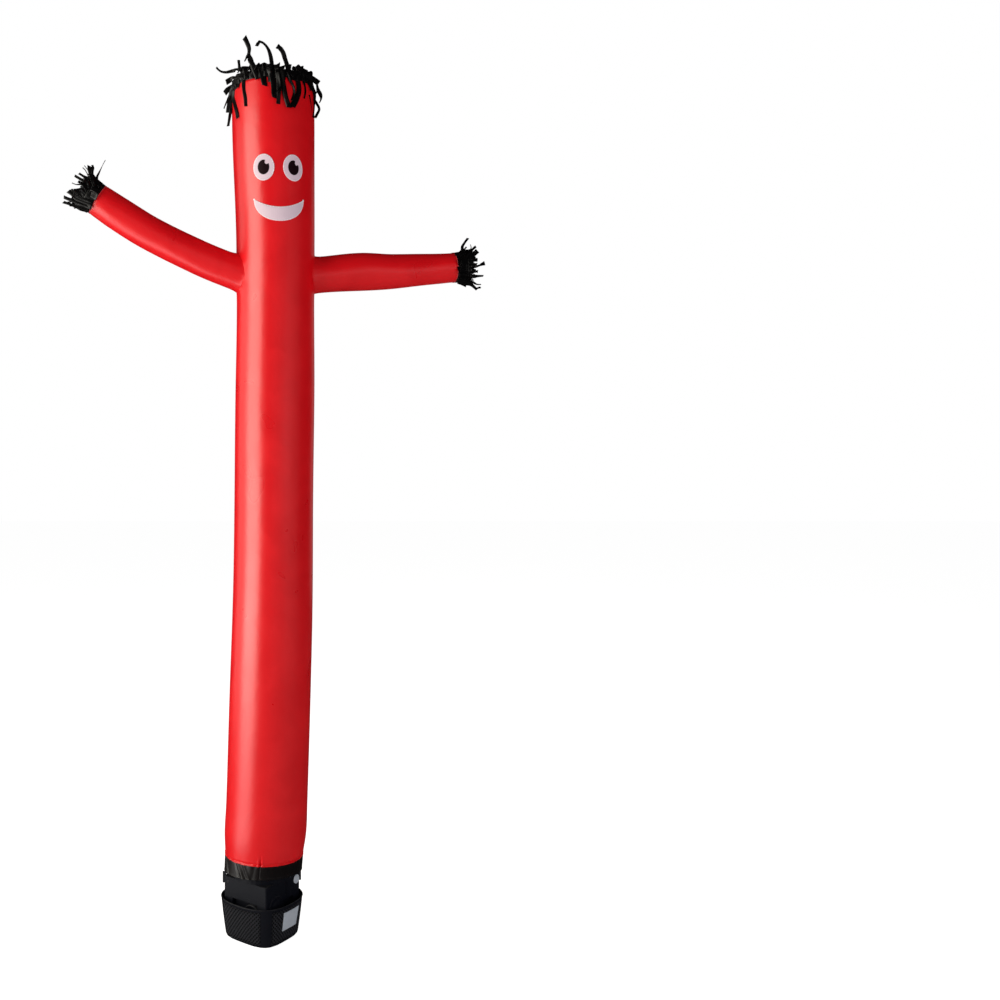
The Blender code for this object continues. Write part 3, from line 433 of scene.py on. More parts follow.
def ring_point(angle, radius, height, middle=0.0):
    """A place on a level ring: angle 0 is its front, and angles run to the right."""
    return stack(middle + radius * np.sin(angle), -radius * np.cos(angle), height)


def outward(angle):
    """The level direction out of a ring at an angle."""
    return ring_point(angle, 1.0, 0.0)


def hump(off, width):
    """A smooth hump: 1 where off is 0, and about a third a width away."""
    return np.exp(-((off / width) ** 2))


def fading(far, reach):
    """1 at no distance, and about a third at the reach."""
    return np.exp(-np.maximum(far, 0) / reach)


def dense_rows(*stops):
    """Heights from (height, steps) pairs: each pair's steps lead to the next height."""
    runs = []
    for (low, steps), (high, _) in zip(stops, stops[1:]):
        runs.append(np.linspace(low, high, steps, endpoint=False))
    return np.append(np.concatenate(runs), stops[-1][0])


def round_hole(arm, angle, height):
    """Distance from the middle of an arm's hole along the cloth, and the bearing."""
    across = wrapped(angle - arm.side * math.pi / 2 - ARM_TURN) * ROOT_REACH
    up = height - along(arm.outline, HEIGHT, ROOT_REACH)
    return np.hypot(across, up), np.arctan2(up, across)


def tucked_in(relief, beyond):
    """A relief up to a hem, where the cloth steps in under the fringe's band."""
    share = smooth_step((beyond + TUCK_RUN) / TUCK_RUN)
    return relief * (1 - share) - TUCK_STEP * share


def body_relief(angle, height):
    """How far the body's cloth stands out of its smooth outline: gathers that fade away
    from the foot seam, with one deep pleat, gathers round each arm and at the head's
    hem, and long shallow waves."""
    up = height - FOOT
    gathers = 0.0006 * np.sin(23 * angle + 1.3) + 0.0005 * np.sin(41 * angle)
    off = np.abs(wrapped(angle - PLEAT_ANGLE))
    # The pleat sinks between two raised lips, and a crease runs round above the seam.
    pleat = 0.0028 * hump(off - 0.055, 0.030) - 0.0070 * hump(off, 0.020)
    relief = fading(up, 0.012) * gathers + pleat * hump(np.maximum(up, 0), 0.026)
    relief = relief - 0.0022 * hump(up - 0.0062, 0.0030)
    for arm in ARMS:
        far, bearing = round_hole(arm, angle, height)
        rays = np.sin(9 * bearing + arm.side) + 0.6 * np.sin(17 * bearing + 2.0)
        relief = relief + 0.0005 * fading(far - 0.066, 0.020) * rays
        relief = relief + 0.0020 * fading(far - 0.064, 0.012)
    relief = relief + 0.0005 * fading(HEM - height, 0.025) * np.sin(13 * angle + 0.6)
    waves = np.sin(2 * angle + 5.0 * height) + 0.7 * np.sin(3 * angle - 7.0 * height)
    return tucked_in(relief + 0.0006 * waves, height - HEM)


def skin_point(angle, height, proud=0.0):
    """The body's outer cloth: at each height a circle about the body's middle line, with
    the relief added to its radius."""
    radius = along(BODY, RADIUS, height) + body_relief(angle, height) + proud
    return ring_point(angle, radius, height, along(BODY, SIDEWAYS, height))


def arm_axis(arm, reach):
    """The middle line of an arm and the directions across it, up it and along it."""
    out = np.array((math.cos(ARM_TURN), math.sin(ARM_TURN), 0.0)) * arm.side

    def middle(r):
        return stack(ARM_AXIS_X + out[0] * r, out[1] * r, along(arm.outline, HEIGHT, r))

    axis = unit(middle(reach + 0.004) - middle(reach - 0.004))
    across = unit(np.cross(axis, (0.0, 0.0, 1.0))) * arm.side
    return middle(reach), across, np.cross(axis, across), axis


def arm_point(arm, angle, reach, proud=0.0):
    """An arm's cloth: a circle about its middle line in the plane across it."""
    middle, across, up, _ = arm_axis(arm, reach)
    radius = (along(arm.outline, RADIUS, reach) + proud)[..., None]
    sine, cosine = np.sin(angle)[..., None], np.cos(angle)[..., None]
    return middle + radius * (across * sine - up * cosine)


def arm_root(arm, angle, proud=0.0):
    """The reach at which an arm's cloth meets the body's, found by halving."""
    low, high = np.full_like(angle, 0.04), np.full_like(angle, 0.30)
    for _ in range(30):
        middle = (low + high) / 2
        place = arm_point(arm, angle, middle, proud)
        from_axis = place[..., 0] - along(BODY, SIDEWAYS, place[..., 2])
        outside = np.hypot(from_axis, place[..., 1]) > along(BODY, RADIUS, place[..., 2])
        high = np.where(outside, middle, high)
        low = np.where(outside, low, middle)
    return high


def cuff_hem(angle):
    """The cuff's lower edge, raised at the front and the back."""
    rise = CUFF_HEM_RISE * np.sqrt(np.abs(np.cos(angle)))
    return CUFF_HEM_SIDE_Z + rise + CUFF_HEM_TILT * np.sin(angle)


def cuff_point(angle, share, proud=0.0):
    """The cuff's cloth, from its hem at share 0 to its seam at 1: a cone with slanted
    folds, and with a groove where its ends lie over each other."""
    hem = cuff_hem(angle)
    height = between(hem, CUFF_TOP, share)
    blend = (height - CUFF_HEM_SIDE_Z) / (CUFF_TOP - CUFF_HEM_SIDE_Z)
    centre = between(CUFF_HEM_X, BODY[0, SIDEWAYS], blend)
    radius = between(CUFF_RADIUS, BODY[0, RADIUS], blend) + proud
    degrees = np.degrees(wrapped(angle))
    for top, low, width, rise in CUFF_FOLDS:
        radius = radius + rise * hump(degrees - between(low, top, share), width)
    off = degrees - CUFF_LAP
    radius = radius - 0.0014 * hump(off, 0.9) + 0.0005 * smooth_step(off / 7.2)
    radius = radius + 0.0004 * np.sin(31 * angle) * fading(1 - share, 0.25)
    return ring_point(angle, radius, height, centre)


def face_point(u, v, proud):
    """A place on the face, u to the right of its middle line and at height v."""
    return skin_point(FACE_TURN + u / along(BODY, RADIUS, v), v, proud)


def base_point(angle, height, proud=0.0):
    """The base's outer side: a rounded square, whose sides and roundness change evenly
    from the floor to the rim, turned with the blower."""
    share = height / BASE_HEIGHT
    half, power = (between(*ends, share) for ends in zip(BASE_FLOOR, BASE_RIM))
    off = angle - math.pi / 4
    total = np.abs(np.cos(off)) ** power + np.abs(np.sin(off)) ** power
    return ring_point(angle + BLOWER_TURN, half / total ** (1 / power) + proud, height)


def side_turn(side):
    """The angle that a side of the blower faces: side 0 is the front right one."""
    return math.pi / 4 + side * math.pi / 2


def side_axes(side):
    """The directions along a side of the housing, up it and out of it."""
    out = outward(side_turn(side) + BLOWER_TURN)
    return np.array((-out[1], out[0], 0.0)), np.array((0.0, 0.0, 1.0)), out


def housing_point(side, place, height, out):
    """A place on a side of the housing: along it, at a height, and out from its face."""
    along_side, up, outside = side_axes(side)
    reach = HOUSING_SIDE / 2 + out
    return np.multiply.outer(place, along_side) + up * height + outside * reach


# ---- Meshes -----------------------------------------------------------------------------


def add_mesh(name, verts, faces, uvs=None, smooth=True):
    """A mesh object at the origin. uvs holds one pair for each corner of each face."""
    mesh = bpy.data.meshes.new(name)
    faces = faces if isinstance(faces, list) else faces.tolist()
    mesh.from_pydata(verts.reshape(-1, 3).tolist(), [], faces)
    if uvs is not None:
        layer = mesh.uv_layers.new(name="cloth")
        layer.data.foreach_set("uv", uvs.astype(np.float32).ravel())
    mesh.polygons.foreach_set("use_smooth", [smooth] * len(mesh.polygons))
    mesh.update()
    piece = bpy.data.objects.new(name, mesh)
    bpy.context.scene.collection.objects.link(piece)
    return piece


def grid_faces(rows, columns, round_u=False, round_v=False):
    """Quads of a grid, whose faces look to the right of the way from row to row and
    column to column, and the (column, row) of each quad's corners."""
    wide, high = columns - (not round_u), rows - (not round_v)
    j, i = np.meshgrid(np.arange(wide), np.arange(high))
    j, i = j.ravel(), i.ravel()
    places = [(i, j), (i, j + 1), (i + 1, j + 1), (i + 1, j)]
    faces = np.stack([(a % rows) * columns + b % columns for a, b in places], axis=1)
    corners = np.stack([np.stack((b, a), axis=1) for a, b in places], axis=1)
    return faces, corners


def add_grid(name, points, size, round_u=False, round_v=False, keep=None, lines=()):
    """A surface on a grid of points, with a map in metres of cloth across and up. lines
    gives the columns' and rows' places as shares of the size, where they are uneven."""
    rows, columns = points.shape[:2]
    faces, corners = grid_faces(rows, columns, round_u, round_v)
    if keep is not None:
        kept = keep(points.reshape(-1, 3)[faces].mean(axis=1))
        faces, corners = faces[kept], corners[kept]
    across, up = lines or (np.linspace(0, 1, columns + round_u), np.linspace(0, 1, rows))
    places = np.stack((across[corners[..., 0]], up[corners[..., 1]]), axis=-1)
    return add_mesh(name, points, faces, places * size)


def join_parts(parts):
    """Several (verts, faces) pairs as one."""
    verts, faces, count = [], [], 0
    for part_verts, part_faces in parts:
        verts.append(part_verts.reshape(-1, 3))
        faces.append(part_faces + count)
        count += len(verts[-1])
    return np.concatenate(verts), np.concatenate(faces)


def path_frame(path, normals, closed):
    """Unit directions along a path, out of the cloth and across the path."""
    if closed:
        ahead = np.roll(path, -1, axis=0) - np.roll(path, 1, axis=0)
    else:
        ahead = np.gradient(path, axis=0)
    ahead = unit(ahead)
    across = unit(np.cross(ahead, normals))
    return ahead, np.cross(across, ahead), across


def carried(path, normals, profile, closed=True):
    """A closed profile of (across, out) points carried along a path on the cloth. An
    open path's two ends are closed by faces of their own."""
    _, out, across = path_frame(path, normals, closed)
    u, v = profile.T[..., None]
    points = path[:, None] + across[:, None] * u + out[:, None] * v
    faces, _ = grid_faces(len(path), len(profile), True, closed)
    if not closed:
        ring = np.arange(len(profile))
        ends = ring[::-1], (len(path) - 1) * len(profile) + ring
        faces = faces.tolist() + [end.tolist() for end in ends]
    return points, faces


def half_round(width, height, steps=6):
    """A low bead's profile: half an ellipse, and a flat back just inside the cloth."""
    angle = np.linspace(0, math.pi, steps)
    return np.stack((np.cos(angle) * width / 2, np.sin(angle) * height - CLEARANCE), axis=1)


def add_bead(name, path, normals, size, closed=True):
    """A bead or piping of a width and height along a path."""
    return add_mesh(name, *carried(path, normals, half_round(*size), closed))


def spaced(path, normals, pitch, closed=True):
    """Places at an even pitch along a path, with the path's normals there."""
    if closed:
        path = np.concatenate((path, path[:1]))
        normals = np.concatenate((normals, normals[:1]))
    length = np.append(0, np.cumsum(np.linalg.norm(np.diff(path, axis=0), axis=1)))
    count = max(2, round(length[-1] / pitch))
    at = (np.arange(count) + 0.5) / count * length[-1]
    place = np.stack([np.interp(at, length, path[:, k]) for k in range(3)], axis=1)
    facing = np.stack([np.interp(at, length, normals[:, k]) for k in range(3)], axis=1)
    return place, facing


# A stitch's points: three along it by three across, as shares of its length, width and
# height. Its middle stands up and its ends go into the cloth.
STITCH_ALONG = np.repeat((-0.5, 0.0, 0.5), 3)
STITCH_ACROSS = np.tile((-0.5, 0.0, 0.5), 3)
STITCH_OUT = np.array((-0.6, -0.1, -0.6, 0.1, 1.0, 0.1, -0.6, -0.1, -0.6))
STITCH_FACES = np.array(((3, 4, 1, 0), (4, 5, 2, 1), (6, 7, 4, 3), (7, 8, 5, 4)))


def stitch_row(path, normals, pitch, length, width, height, slant=0.0, closed=True):
    """Thread stitches along a path, each a small arched pad, turned by slant."""
    place, facing = spaced(path, normals, pitch, closed)
    ahead, out, across = path_frame(place, facing, closed)
    turned = ahead * math.cos(slant) + across * math.sin(slant)
    side = across * math.cos(slant) - ahead * math.sin(slant)
    points = place[:, None] + turned[:, None] * (STITCH_ALONG * length)[:, None]
    points = points + side[:, None] * (STITCH_ACROSS * width)[:, None]
    points = points + out[:, None] * (STITCH_OUT * height)[:, None]
    start = np.arange(len(place))[:, None, None] * len(STITCH_OUT)
    return points, (STITCH_FACES + start).reshape(-1, 4)


# ---- Node helpers -------------------------------------------------------------------------


class Nodes:
    """Adds nodes to a tree. An input is given a value or another node's output."""

    def __init__(self, tree):
        self.tree = tree

    def add(self, kind, inputs=None, **settings):
        """A new node with its settings, and its inputs by name or number."""
        node = self.tree.nodes.new(kind)
        for name, value in settings.items():
            setattr(node, name, value)
        for key, value in (inputs or {}).items():
            self.put(value, node.inputs[key])
        return node

    def put(self, value, socket):
        """Links another node's output to a socket, or sets its value."""
        if isinstance(value, bpy.types.NodeSocket):
            self.tree.links.new(value, socket)
        else:
            socket.default_value = value

    def math(self, operation, *values, clamp=False):
        """A sum of numbers, as an output."""
        keys = dict(enumerate(values))
        return self.add("ShaderNodeMath", keys, operation=operation, use_clamp=clamp).outputs[0]

    def vector(self, operation, *values):
        """A sum of vectors: the outputs of its vector and its number."""
        keys = dict(enumerate(values))
        return self.add("ShaderNodeVectorMath", keys, operation=operation).outputs

    def noise(self, vector, scale, detail=3.0, rough=0.5, distortion=0.0):
        """A cloudy value around a half."""
        keys = {"Vector": vector, "Scale": scale, "Detail": detail}
        keys |= {"Roughness": rough, "Distortion": distortion}
        return self.add("ShaderNodeTexNoise", keys).outputs["Fac"]

    def span(self, value, low, high, new_low=0.0, new_high=1.0):
        """A value moved from one range to another, and held at its ends."""
        keys = dict(enumerate((value, low, high, new_low, new_high)))
        return self.add("ShaderNodeMapRange", keys).outputs[0]

    def mix(self, share, first, second):
        """A colour a share of the way from the first to the second."""
        keys = {0: share, 6: first, 7: second}
        return self.add("ShaderNodeMix", keys, data_type="RGBA").outputs[2]

    def group(self, name, **inputs):
        """The outputs of a node group placed with these inputs."""
        return self.add("ShaderNodeGroup", inputs, node_tree=bpy.data.node_groups[name]).outputs


def new_group(name, inputs, outputs):
    """An empty node group with number and vector inputs and number outputs: its nodes,
    the outputs of its first node and the inputs of its last."""
    tree = bpy.data.node_groups.new(name, "ShaderNodeTree")
    for word, value in inputs:
        kind = "NodeSocketVector" if value is None else "NodeSocketFloat"
        socket = tree.interface.new_socket(word, in_out="INPUT", socket_type=kind)
        if value is not None:
            socket.default_value = value
    for word in outputs:
        tree.interface.new_socket(word, in_out="OUTPUT", socket_type="NodeSocketFloat")
    nodes = Nodes(tree)
    source = nodes.add("NodeGroupInput").outputs
    sink = nodes.add("NodeGroupOutput")
    return nodes, source, sink.inputs


def group_weave():
    """A plain weave: warp and weft threads pass over each other in turn, and every few
    threads a doubled one makes the ripstop's raised grid."""
    inputs = (("Vector", None), ("Pitch", 0.001), ("Grid", 0.005))
    nodes, source, sink = new_group("ripstop_weave", inputs, ("Height", "Shade"))
    split = nodes.add("ShaderNodeSeparateXYZ", {0: source["Vector"]}).outputs
    threads, lines = [], []
    for axis in (0, 1):
        turn = nodes.math("DIVIDE", split[axis], source["Pitch"])
        turn = nodes.math("MULTIPLY", turn, math.pi)
        threads.append(nodes.math("SINE", turn))
        cell = nodes.math("DIVIDE", split[axis], source["Grid"])
        off = nodes.math("ABSOLUTE", nodes.math("SUBTRACT", nodes.math("FRACT", cell), 0.5))
        lines.append(nodes.span(off, 0.40, 0.47))
    woven = nodes.math("MULTIPLY", threads[0], threads[1])
    grid = nodes.math("MAXIMUM", lines[0], lines[1])
    height = nodes.math("MULTIPLY_ADD", woven, 0.35, grid)
    nodes.put(height, sink["Height"])
    nodes.put(grid, sink["Shade"])


def group_creases():
    """Soft creases in thin cloth: the ridge lines of a stretched noise."""
    inputs = (("Vector", None), ("Scale", 8.0), ("Sharpness", 3.0))
    nodes, source, sink = new_group("soft_creases", inputs, ("Height", "Shade"))
    value = nodes.noise(source["Vector"], source["Scale"], 2.0, 0.45, 0.6)
    off = nodes.math("ABSOLUTE", nodes.math("SUBTRACT", value, 0.5))
    ridge = nodes.math("SUBTRACT", 1.0, nodes.math("MULTIPLY", off, 2.0), clamp=True)
    ridge = nodes.math("POWER", ridge, source["Sharpness"])
    nodes.put(ridge, sink["Height"])
    nodes.put(value, sink["Shade"])


def group_grain():
    """The fine leathery grain of moulded plastic: small cells and a noise over them."""
    inputs = (("Vector", None), ("Scale", 900.0))
    nodes, source, sink = new_group("moulded_grain", inputs, ("Height", "Patches"))
    keys = {"Vector": source["Vector"], "Scale": source["Scale"]}
    cells = nodes.add("ShaderNodeTexVoronoi", keys, feature="SMOOTH_F1").outputs[0]
    fine = nodes.noise(source["Vector"], nodes.math("MULTIPLY", source["Scale"], 0.4))
    height = nodes.math("MULTIPLY_ADD", fine, 0.5, cells)
    patches = nodes.noise(source["Vector"], 14.0, 4.0, 0.6)
    nodes.put(height, sink["Height"])
    nodes.put(patches, sink["Patches"])


def group_dust():
    """Dust that settles where a surface looks up, broken up by a noise."""
    inputs = (("Vector", None), ("Amount", 0.3))
    nodes, source, sink = new_group("settled_dust", inputs, ("Mask",))
    normal = nodes.add("ShaderNodeNewGeometry").outputs["Normal"]
    up = nodes.add("ShaderNodeSeparateXYZ", {0: normal}).outputs[2]
    facing = nodes.span(up, 0.1, 1.0)
    broken = nodes.span(nodes.noise(source["Vector"], 60.0, 6.0, 0.7), 0.35, 0.75)
    mask = nodes.math("MULTIPLY", nodes.math("MULTIPLY", facing, broken), source["Amount"])
    nodes.put(mask, sink["Mask"])


def group_scuffs():
    """Fine rubbed lines, such as a moulding gets on its corners and flat sides."""
    inputs = (("Vector", None), ("Scale", 30.0), ("Amount", 0.3))
    nodes, source, sink = new_group("fine_scuffs", inputs, ("Mask",))
    drawn = nodes.vector("MULTIPLY", source["Vector"], (1.0, 1.0, 7.0))[0]
    lines = nodes.span(nodes.noise(drawn, source["Scale"], 5.0, 0.7, 0.4), 0.62, 0.72)
    patches = nodes.span(nodes.noise(source["Vector"], 9.0, 2.0), 0.45, 0.70)
    mask = nodes.math("MULTIPLY", nodes.math("MULTIPLY", lines, patches), source["Amount"])
    nodes.put(mask, sink["Mask"])


def shade(colour, factor):
    """A colour made darker or lighter, with a fourth number for a socket."""
    return (colour[0] * factor, colour[1] * factor, colour[2] * factor, 1.0)


def new_material(name):
    """A new material with a Principled shader: its nodes, that shader's inputs and the
    coordinates' outputs."""
    material = bpy.data.materials.new(name)
    material.use_nodes = True
    nodes = Nodes(material.node_tree)
    shader = material.node_tree.nodes["Principled BSDF"]
    places = nodes.add("ShaderNodeTexCoord").outputs
    return nodes, shader.inputs, places


def feed(nodes, shader, **values):
    """Gives a shader's inputs, named with _ for a space, a value or an output each."""
    for word, value in values.items():
        nodes.put(value, shader[word.replace("_", " ")])


def bumped(nodes, *layers):
    """A normal from (height, strength, distance) layers, each laid over the last."""
    normal = None
    for height, strength, distance in layers:
        keys = {"Height": height, "Strength": strength, "Distance": distance}
        if normal is not None:
            keys["Normal"] = normal
        normal = nodes.add("ShaderNodeBump", keys).outputs[0]
    return normal


def cloth_material(name, colour, roughness, grid, crease, pitch=0.0011):
    """Woven cloth: threads and a ripstop grid in the relief, faint darker grid lines,
    slow changes of tone and gloss, and soft creases. Gives its nodes and shader."""
    nodes, shader, places = new_material(name)
    weave = nodes.group("ripstop_weave", Vector=places["UV"], Pitch=pitch, Grid=grid)
    creases = nodes.group("soft_creases", Vector=places["Object"], Scale=7.0, Sharpness=3.0)
    tone = nodes.span(creases["Shade"], 0.3, 0.7)
    base = nodes.mix(tone, shade(colour, 0.93), shade(colour, 1.05))
    lines = nodes.math("MULTIPLY", weave["Shade"], 0.10)
    base = nodes.mix(lines, base, shade(colour, 0.5))
    folds, threads = (creases["Height"], crease, 0.004), (weave["Height"], 0.10, 0.0002)
    relief = bumped(nodes, folds, threads)
    gloss = nodes.span(creases["Shade"], 0.3, 0.7, roughness - 0.03, roughness + 0.03)
    feed(nodes, shader, Base_Color=base, Roughness=gloss, Normal=relief)
    return nodes, shader


def nylon_material(name, colour, roughness, crease, ior):
    """Coated nylon: ripstop cloth with the gloss of its coating and a little sheen."""
    nodes, shader = cloth_material(name, colour, roughness, grid=0.0055, crease=crease)
    feed(nodes, shader, Sheen_Weight=0.15, Sheen_Roughness=0.4, IOR=ior)
    feed(nodes, shader, Sheen_Tint=shade(colour, 1.3))


def thread_material(name, colour):
    """Spun thread: short slanted twists along its length, and a dry surface."""
    nodes, shader, places = new_material(name)
    fibres = nodes.noise(places["Object"], 1400.0, 2.0, 0.6)
    tone = nodes.noise(places["Object"], 90.0, 2.0)
    base = nodes.mix(tone, shade(colour, 0.82), shade(colour, 1.08))
    gloss = nodes.span(fibres, 0.3, 0.7, 0.5, 0.75)
    relief = bumped(nodes, (fibres, 0.4, 0.0003))
    feed(nodes, shader, Base_Color=base, Roughness=gloss, Normal=relief)


def plastic_material(name, colour, roughness):
    """Moulded plastic: a fine grain, patches of slightly other gloss, dust where it
    looks up, and fine pale scuffs."""
    nodes, shader, places = new_material(name)
    place = places["Object"]
    moulded = nodes.group("moulded_grain", Vector=place, Scale=700.0)
    settled = nodes.group("settled_dust", Vector=place, Amount=0.25)["Mask"]
    rubbed = nodes.group("fine_scuffs", Vector=place, Amount=0.35)["Mask"]
    base = nodes.mix(moulded["Patches"], shade(colour, 0.88), shade(colour, 1.12))
    base = nodes.mix(settled, base, (0.16, 0.15, 0.14, 1.0))
    base = nodes.mix(rubbed, base, shade(colour, 2.6))
    gloss = nodes.span(moulded["Patches"], 0.3, 0.7, roughness - 0.05, roughness + 0.06)
    gloss = nodes.math("MULTIPLY_ADD", settled, 0.4, gloss, clamp=True)
    relief = bumped(nodes, (moulded["Height"], 0.25, 0.0003))
    feed(nodes, shader, Base_Color=base, Roughness=gloss, Normal=relief, IOR=1.32)


def film_material(name, colour):
    """A silver film: long fine brushing, faint stains and rubbed edges."""
    nodes, shader, places = new_material(name)
    drawn = nodes.vector("MULTIPLY", places["Object"], (1.0, 1.0, 60.0))[0]
    brushed = nodes.noise(drawn, 40.0, 4.0, 0.7)
    stains = nodes.noise(places["Object"], 45.0, 4.0, 0.6)
    base = nodes.mix(stains, shade(colour, 0.86), shade(colour, 1.1))
    gloss = nodes.span(brushed, 0.3, 0.7, 0.34, 0.48)
    relief = bumped(nodes, (brushed, 0.08, 0.0002))
    feed(nodes, shader, Base_Color=base, Roughness=gloss, Normal=relief, Metallic=0.35)


def finish(piece, material, replaces=()):
    """Gives a piece its material and its body, and hides the nodes that it stands for."""
    piece.data.materials.append(bpy.data.materials[material])
    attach(piece, "root")
    if replaces:
        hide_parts(*replaces)
    return piece


def thicken(piece, thickness, offset=-1.0):
    """Gives a surface a thickness: inwards at offset -1, outwards at 1."""
    wall = piece.modifiers.new("thickness", "SOLIDIFY")
    wall.thickness = thickness
    wall.offset = offset
    return piece


def properties():
    return bpy.context.scene.air_dancer


# ---- Properties ---------------------------------------------------------------------------


def colour_property(name, description, default):
    return bpy.props.FloatVectorProperty(
        name=name,
        description=description,
        default=default,
        subtype="COLOR",
        size=3,
        min=0.0,
        max=1.0,
    )


def length_property(name, description, default):
    return bpy.props.FloatProperty(
        name=name,
        description=description,
        default=default,
        min=0.0,
        unit="LENGTH",
        precision=5,
    )


class AirDancerSizes(bpy.types.PropertyGroup):
    """Sizes and colours of the air dancer that a user would change."""

    red: colour_property("Red nylon", "Colour of the body and arms", (0.84, 0.0012, 0.0065))
    black: colour_property("Black nylon", "Colour of the ribbons", (0.0028, 0.0024, 0.0028))
    cuff: colour_property("Cuff", "Colour of the foot's band", (0.0060, 0.0042, 0.0046))
    white: colour_property("White cloth", "Colour of eyes and mouth", (0.84, 0.655, 0.755))
    border: colour_property("Border thread", "Colour of the face's borders", (1.0, 0.90, 0.95))
    pupil: colour_property("Pupil cloth", "Colour of the pupils", (0.0115, 0.0030, 0.0050))
    seam: colour_property("Seam thread", "Colour of the red seams", (0.50, 0.01, 0.012))
    piping: colour_property("Hand piping", "Colour of the hands' piping", (0.60, 0.05, 0.06))
    band_thread: colour_property("Band thread", "Colour of the bands' seams", (0.03, 0.03, 0.032))
    plastic: colour_property("Black plastic", "Colour of the blower", (0.0066, 0.0074, 0.0122))
    grille: colour_property("Grille plastic", "Colour of the grilles", (0.027, 0.028, 0.035))
    film: colour_property("Silver film", "Colour of plate and badge", (0.72, 0.78, 0.88))
    # The screen inside the grilles is near-black: partly a dust screen, partly painted shade
    # inside the base.
    screen: colour_property("Dust screen", "Colour inside the grilles", (0.003, 0.003, 0.0035))
    cloth: length_property("Cloth", "Thickness of the body's cloth", 0.0012)
    ribbon: length_property("Ribbon", "Thickness of a ribbon", 0.0008)
    stitch_pitch: length_property("Stitch pitch", "From stitch to stitch", 0.0045)
    stitch: length_property("Stitch", "Length of a stitch", 0.0034)
    thread: length_property("Thread", "Width of a stitch", 0.0009)
    hole_pitch: length_property("Hole pitch", "Width of one cell of a grille", 0.0122)
    hole_height: length_property("Hole height", "Height of one cell", 0.0160)
    floor: length_property("Floor", "Width of the studio floor", 60.0)


# ---- Operators ----------------------------------------------------------------------------


class AIRDANCER_OT_stage(bpy.types.Operator):
    """Adds the camera, the studio's floor and its soft lights"""

    bl_idname = "air_dancer.stage"
    bl_label = "Stage"

    def execute(self, context):
        self.add_camera(context)
        self.add_floor()
        self.add_world(context)
        for lamp in LAMPS:
            self.add_lamp(lamp)
        context.scene.view_settings.view_transform = "Standard"
        return {"FINISHED"}

    def add_camera(self, context):
        """A level camera, whose frame is shifted to the right and a little down."""
        camera = bpy.data.cameras.new("camera")
        camera.sensor_width, camera.lens = CAMERA_SENSOR, CAMERA_LENS
        camera.shift_x, camera.shift_y = CAMERA_SHIFT
        seen = bpy.data.objects.new("camera", camera)
        seen.location, seen.rotation_euler = CAMERA_PLACE, (math.pi / 2, 0.0, 0.0)
        context.scene.collection.objects.link(seen)
        context.scene.camera = seen

    def add_floor(self):
        """A white floor far wider than the camera sees. It glows a little, so that it stays pale,
        and it shows dark in the object's gloss, as under a polariser, except for a painted pool
        of light on the key panel's side."""
        half = properties().floor / 2
        side = np.linspace(-half, half, 9)
        points = stack(side[None, :], side[:, None], 0.0)
        floor = add_grid("studio_floor", points, (2 * half, 2 * half))
        nodes, shader, places = new_material("studio_floor")
        rays = nodes.add("ShaderNodeLightPath").outputs
        tone = nodes.noise(places["Object"], 3.0, 2.0)
        base = nodes.mix(tone, shade(WHITE, 0.78), shade(WHITE, 0.82))
        base = nodes.mix(rays["Is Glossy Ray"], base, shade(WHITE, 0.01))
        glow = nodes.span(rays["Is Camera Ray"], 0.0, 1.0, 0.10, 0.90)
        # For the gloss, the floor glows with a painted pool of light on the key panel's side.
        glow = nodes.span(rays["Is Glossy Ray"], 0.0, 1.0, glow, self.painted_key_glow(nodes, places))
        feed(nodes, shader, Base_Color=base, Roughness=0.9, Emission_Strength=glow)
        feed(nodes, shader, Emission_Color=shade(WHITE, 1.0))
        material = bpy.data.materials["studio_floor"]
        material.cycles.emission_sampling = "NONE"
        floor.data.materials.append(material)

    def painted_key_glow(self, nodes, places):
        """How bright the gloss finds the floor: a painted pool of light, which glows on the side
        towards the key panel, from a little way out.
        """
        place = nodes.vector("NORMALIZE", places["Object"])[0]
        towards = nodes.vector("DOT_PRODUCT", place, unit(np.array((-4.2, -1.9, 0.0))))
        share = nodes.span(towards["Value"], 0.80, 0.99)
        away = nodes.vector("LENGTH", places["Object"])
        far = nodes.span(away["Value"], 0.65, 1.05)
        share = nodes.math("MULTIPLY", nodes.math("MULTIPLY", share, share), far)
        return nodes.math("MULTIPLY_ADD", share, 1.9, 0.005)

    def add_world(self, context):
        """A white surround, which lights the object less than it shows."""
        world = bpy.data.worlds.new("studio")
        world.use_nodes = True
        context.scene.world = world
        nodes = Nodes(world.node_tree)
        rays = nodes.add("ShaderNodeLightPath").outputs
        surround = world.node_tree.nodes["Background"].inputs
        nodes.put(shade(WHITE, 1.0), surround["Color"])
        strength = nodes.span(rays["Is Glossy Ray"], 0.0, 1.0, 0.12, 0.005)
        strength = nodes.span(rays["Is Camera Ray"], 0.0, 1.0, strength, 1.0)
        nodes.put(strength, surround["Strength"])
        world.cycles.sampling_method = "NONE"

    def add_lamp(self, lamp):
        """A soft panel that faces the middle of the body and that the camera never sees."""
        panel = bpy.data.lights.new(lamp.name, "AREA")
        panel.shape = "RECTANGLE"
        panel.size, panel.size_y = lamp.size
        panel.color = lamp.colour
        panel.energy = lamp.radiance * math.prod(lamp.size) * math.pi
        stand = bpy.data.objects.new(lamp.name, panel)
        stand.location = lamp.place
        stand.rotation_euler = (math.pi / 2, 0.0, math.atan2(lamp.place[0], -lamp.place[1]))
        stand.visible_camera, stand.visible_glossy = False, lamp.glossy
        bpy.context.scene.collection.objects.link(stand)


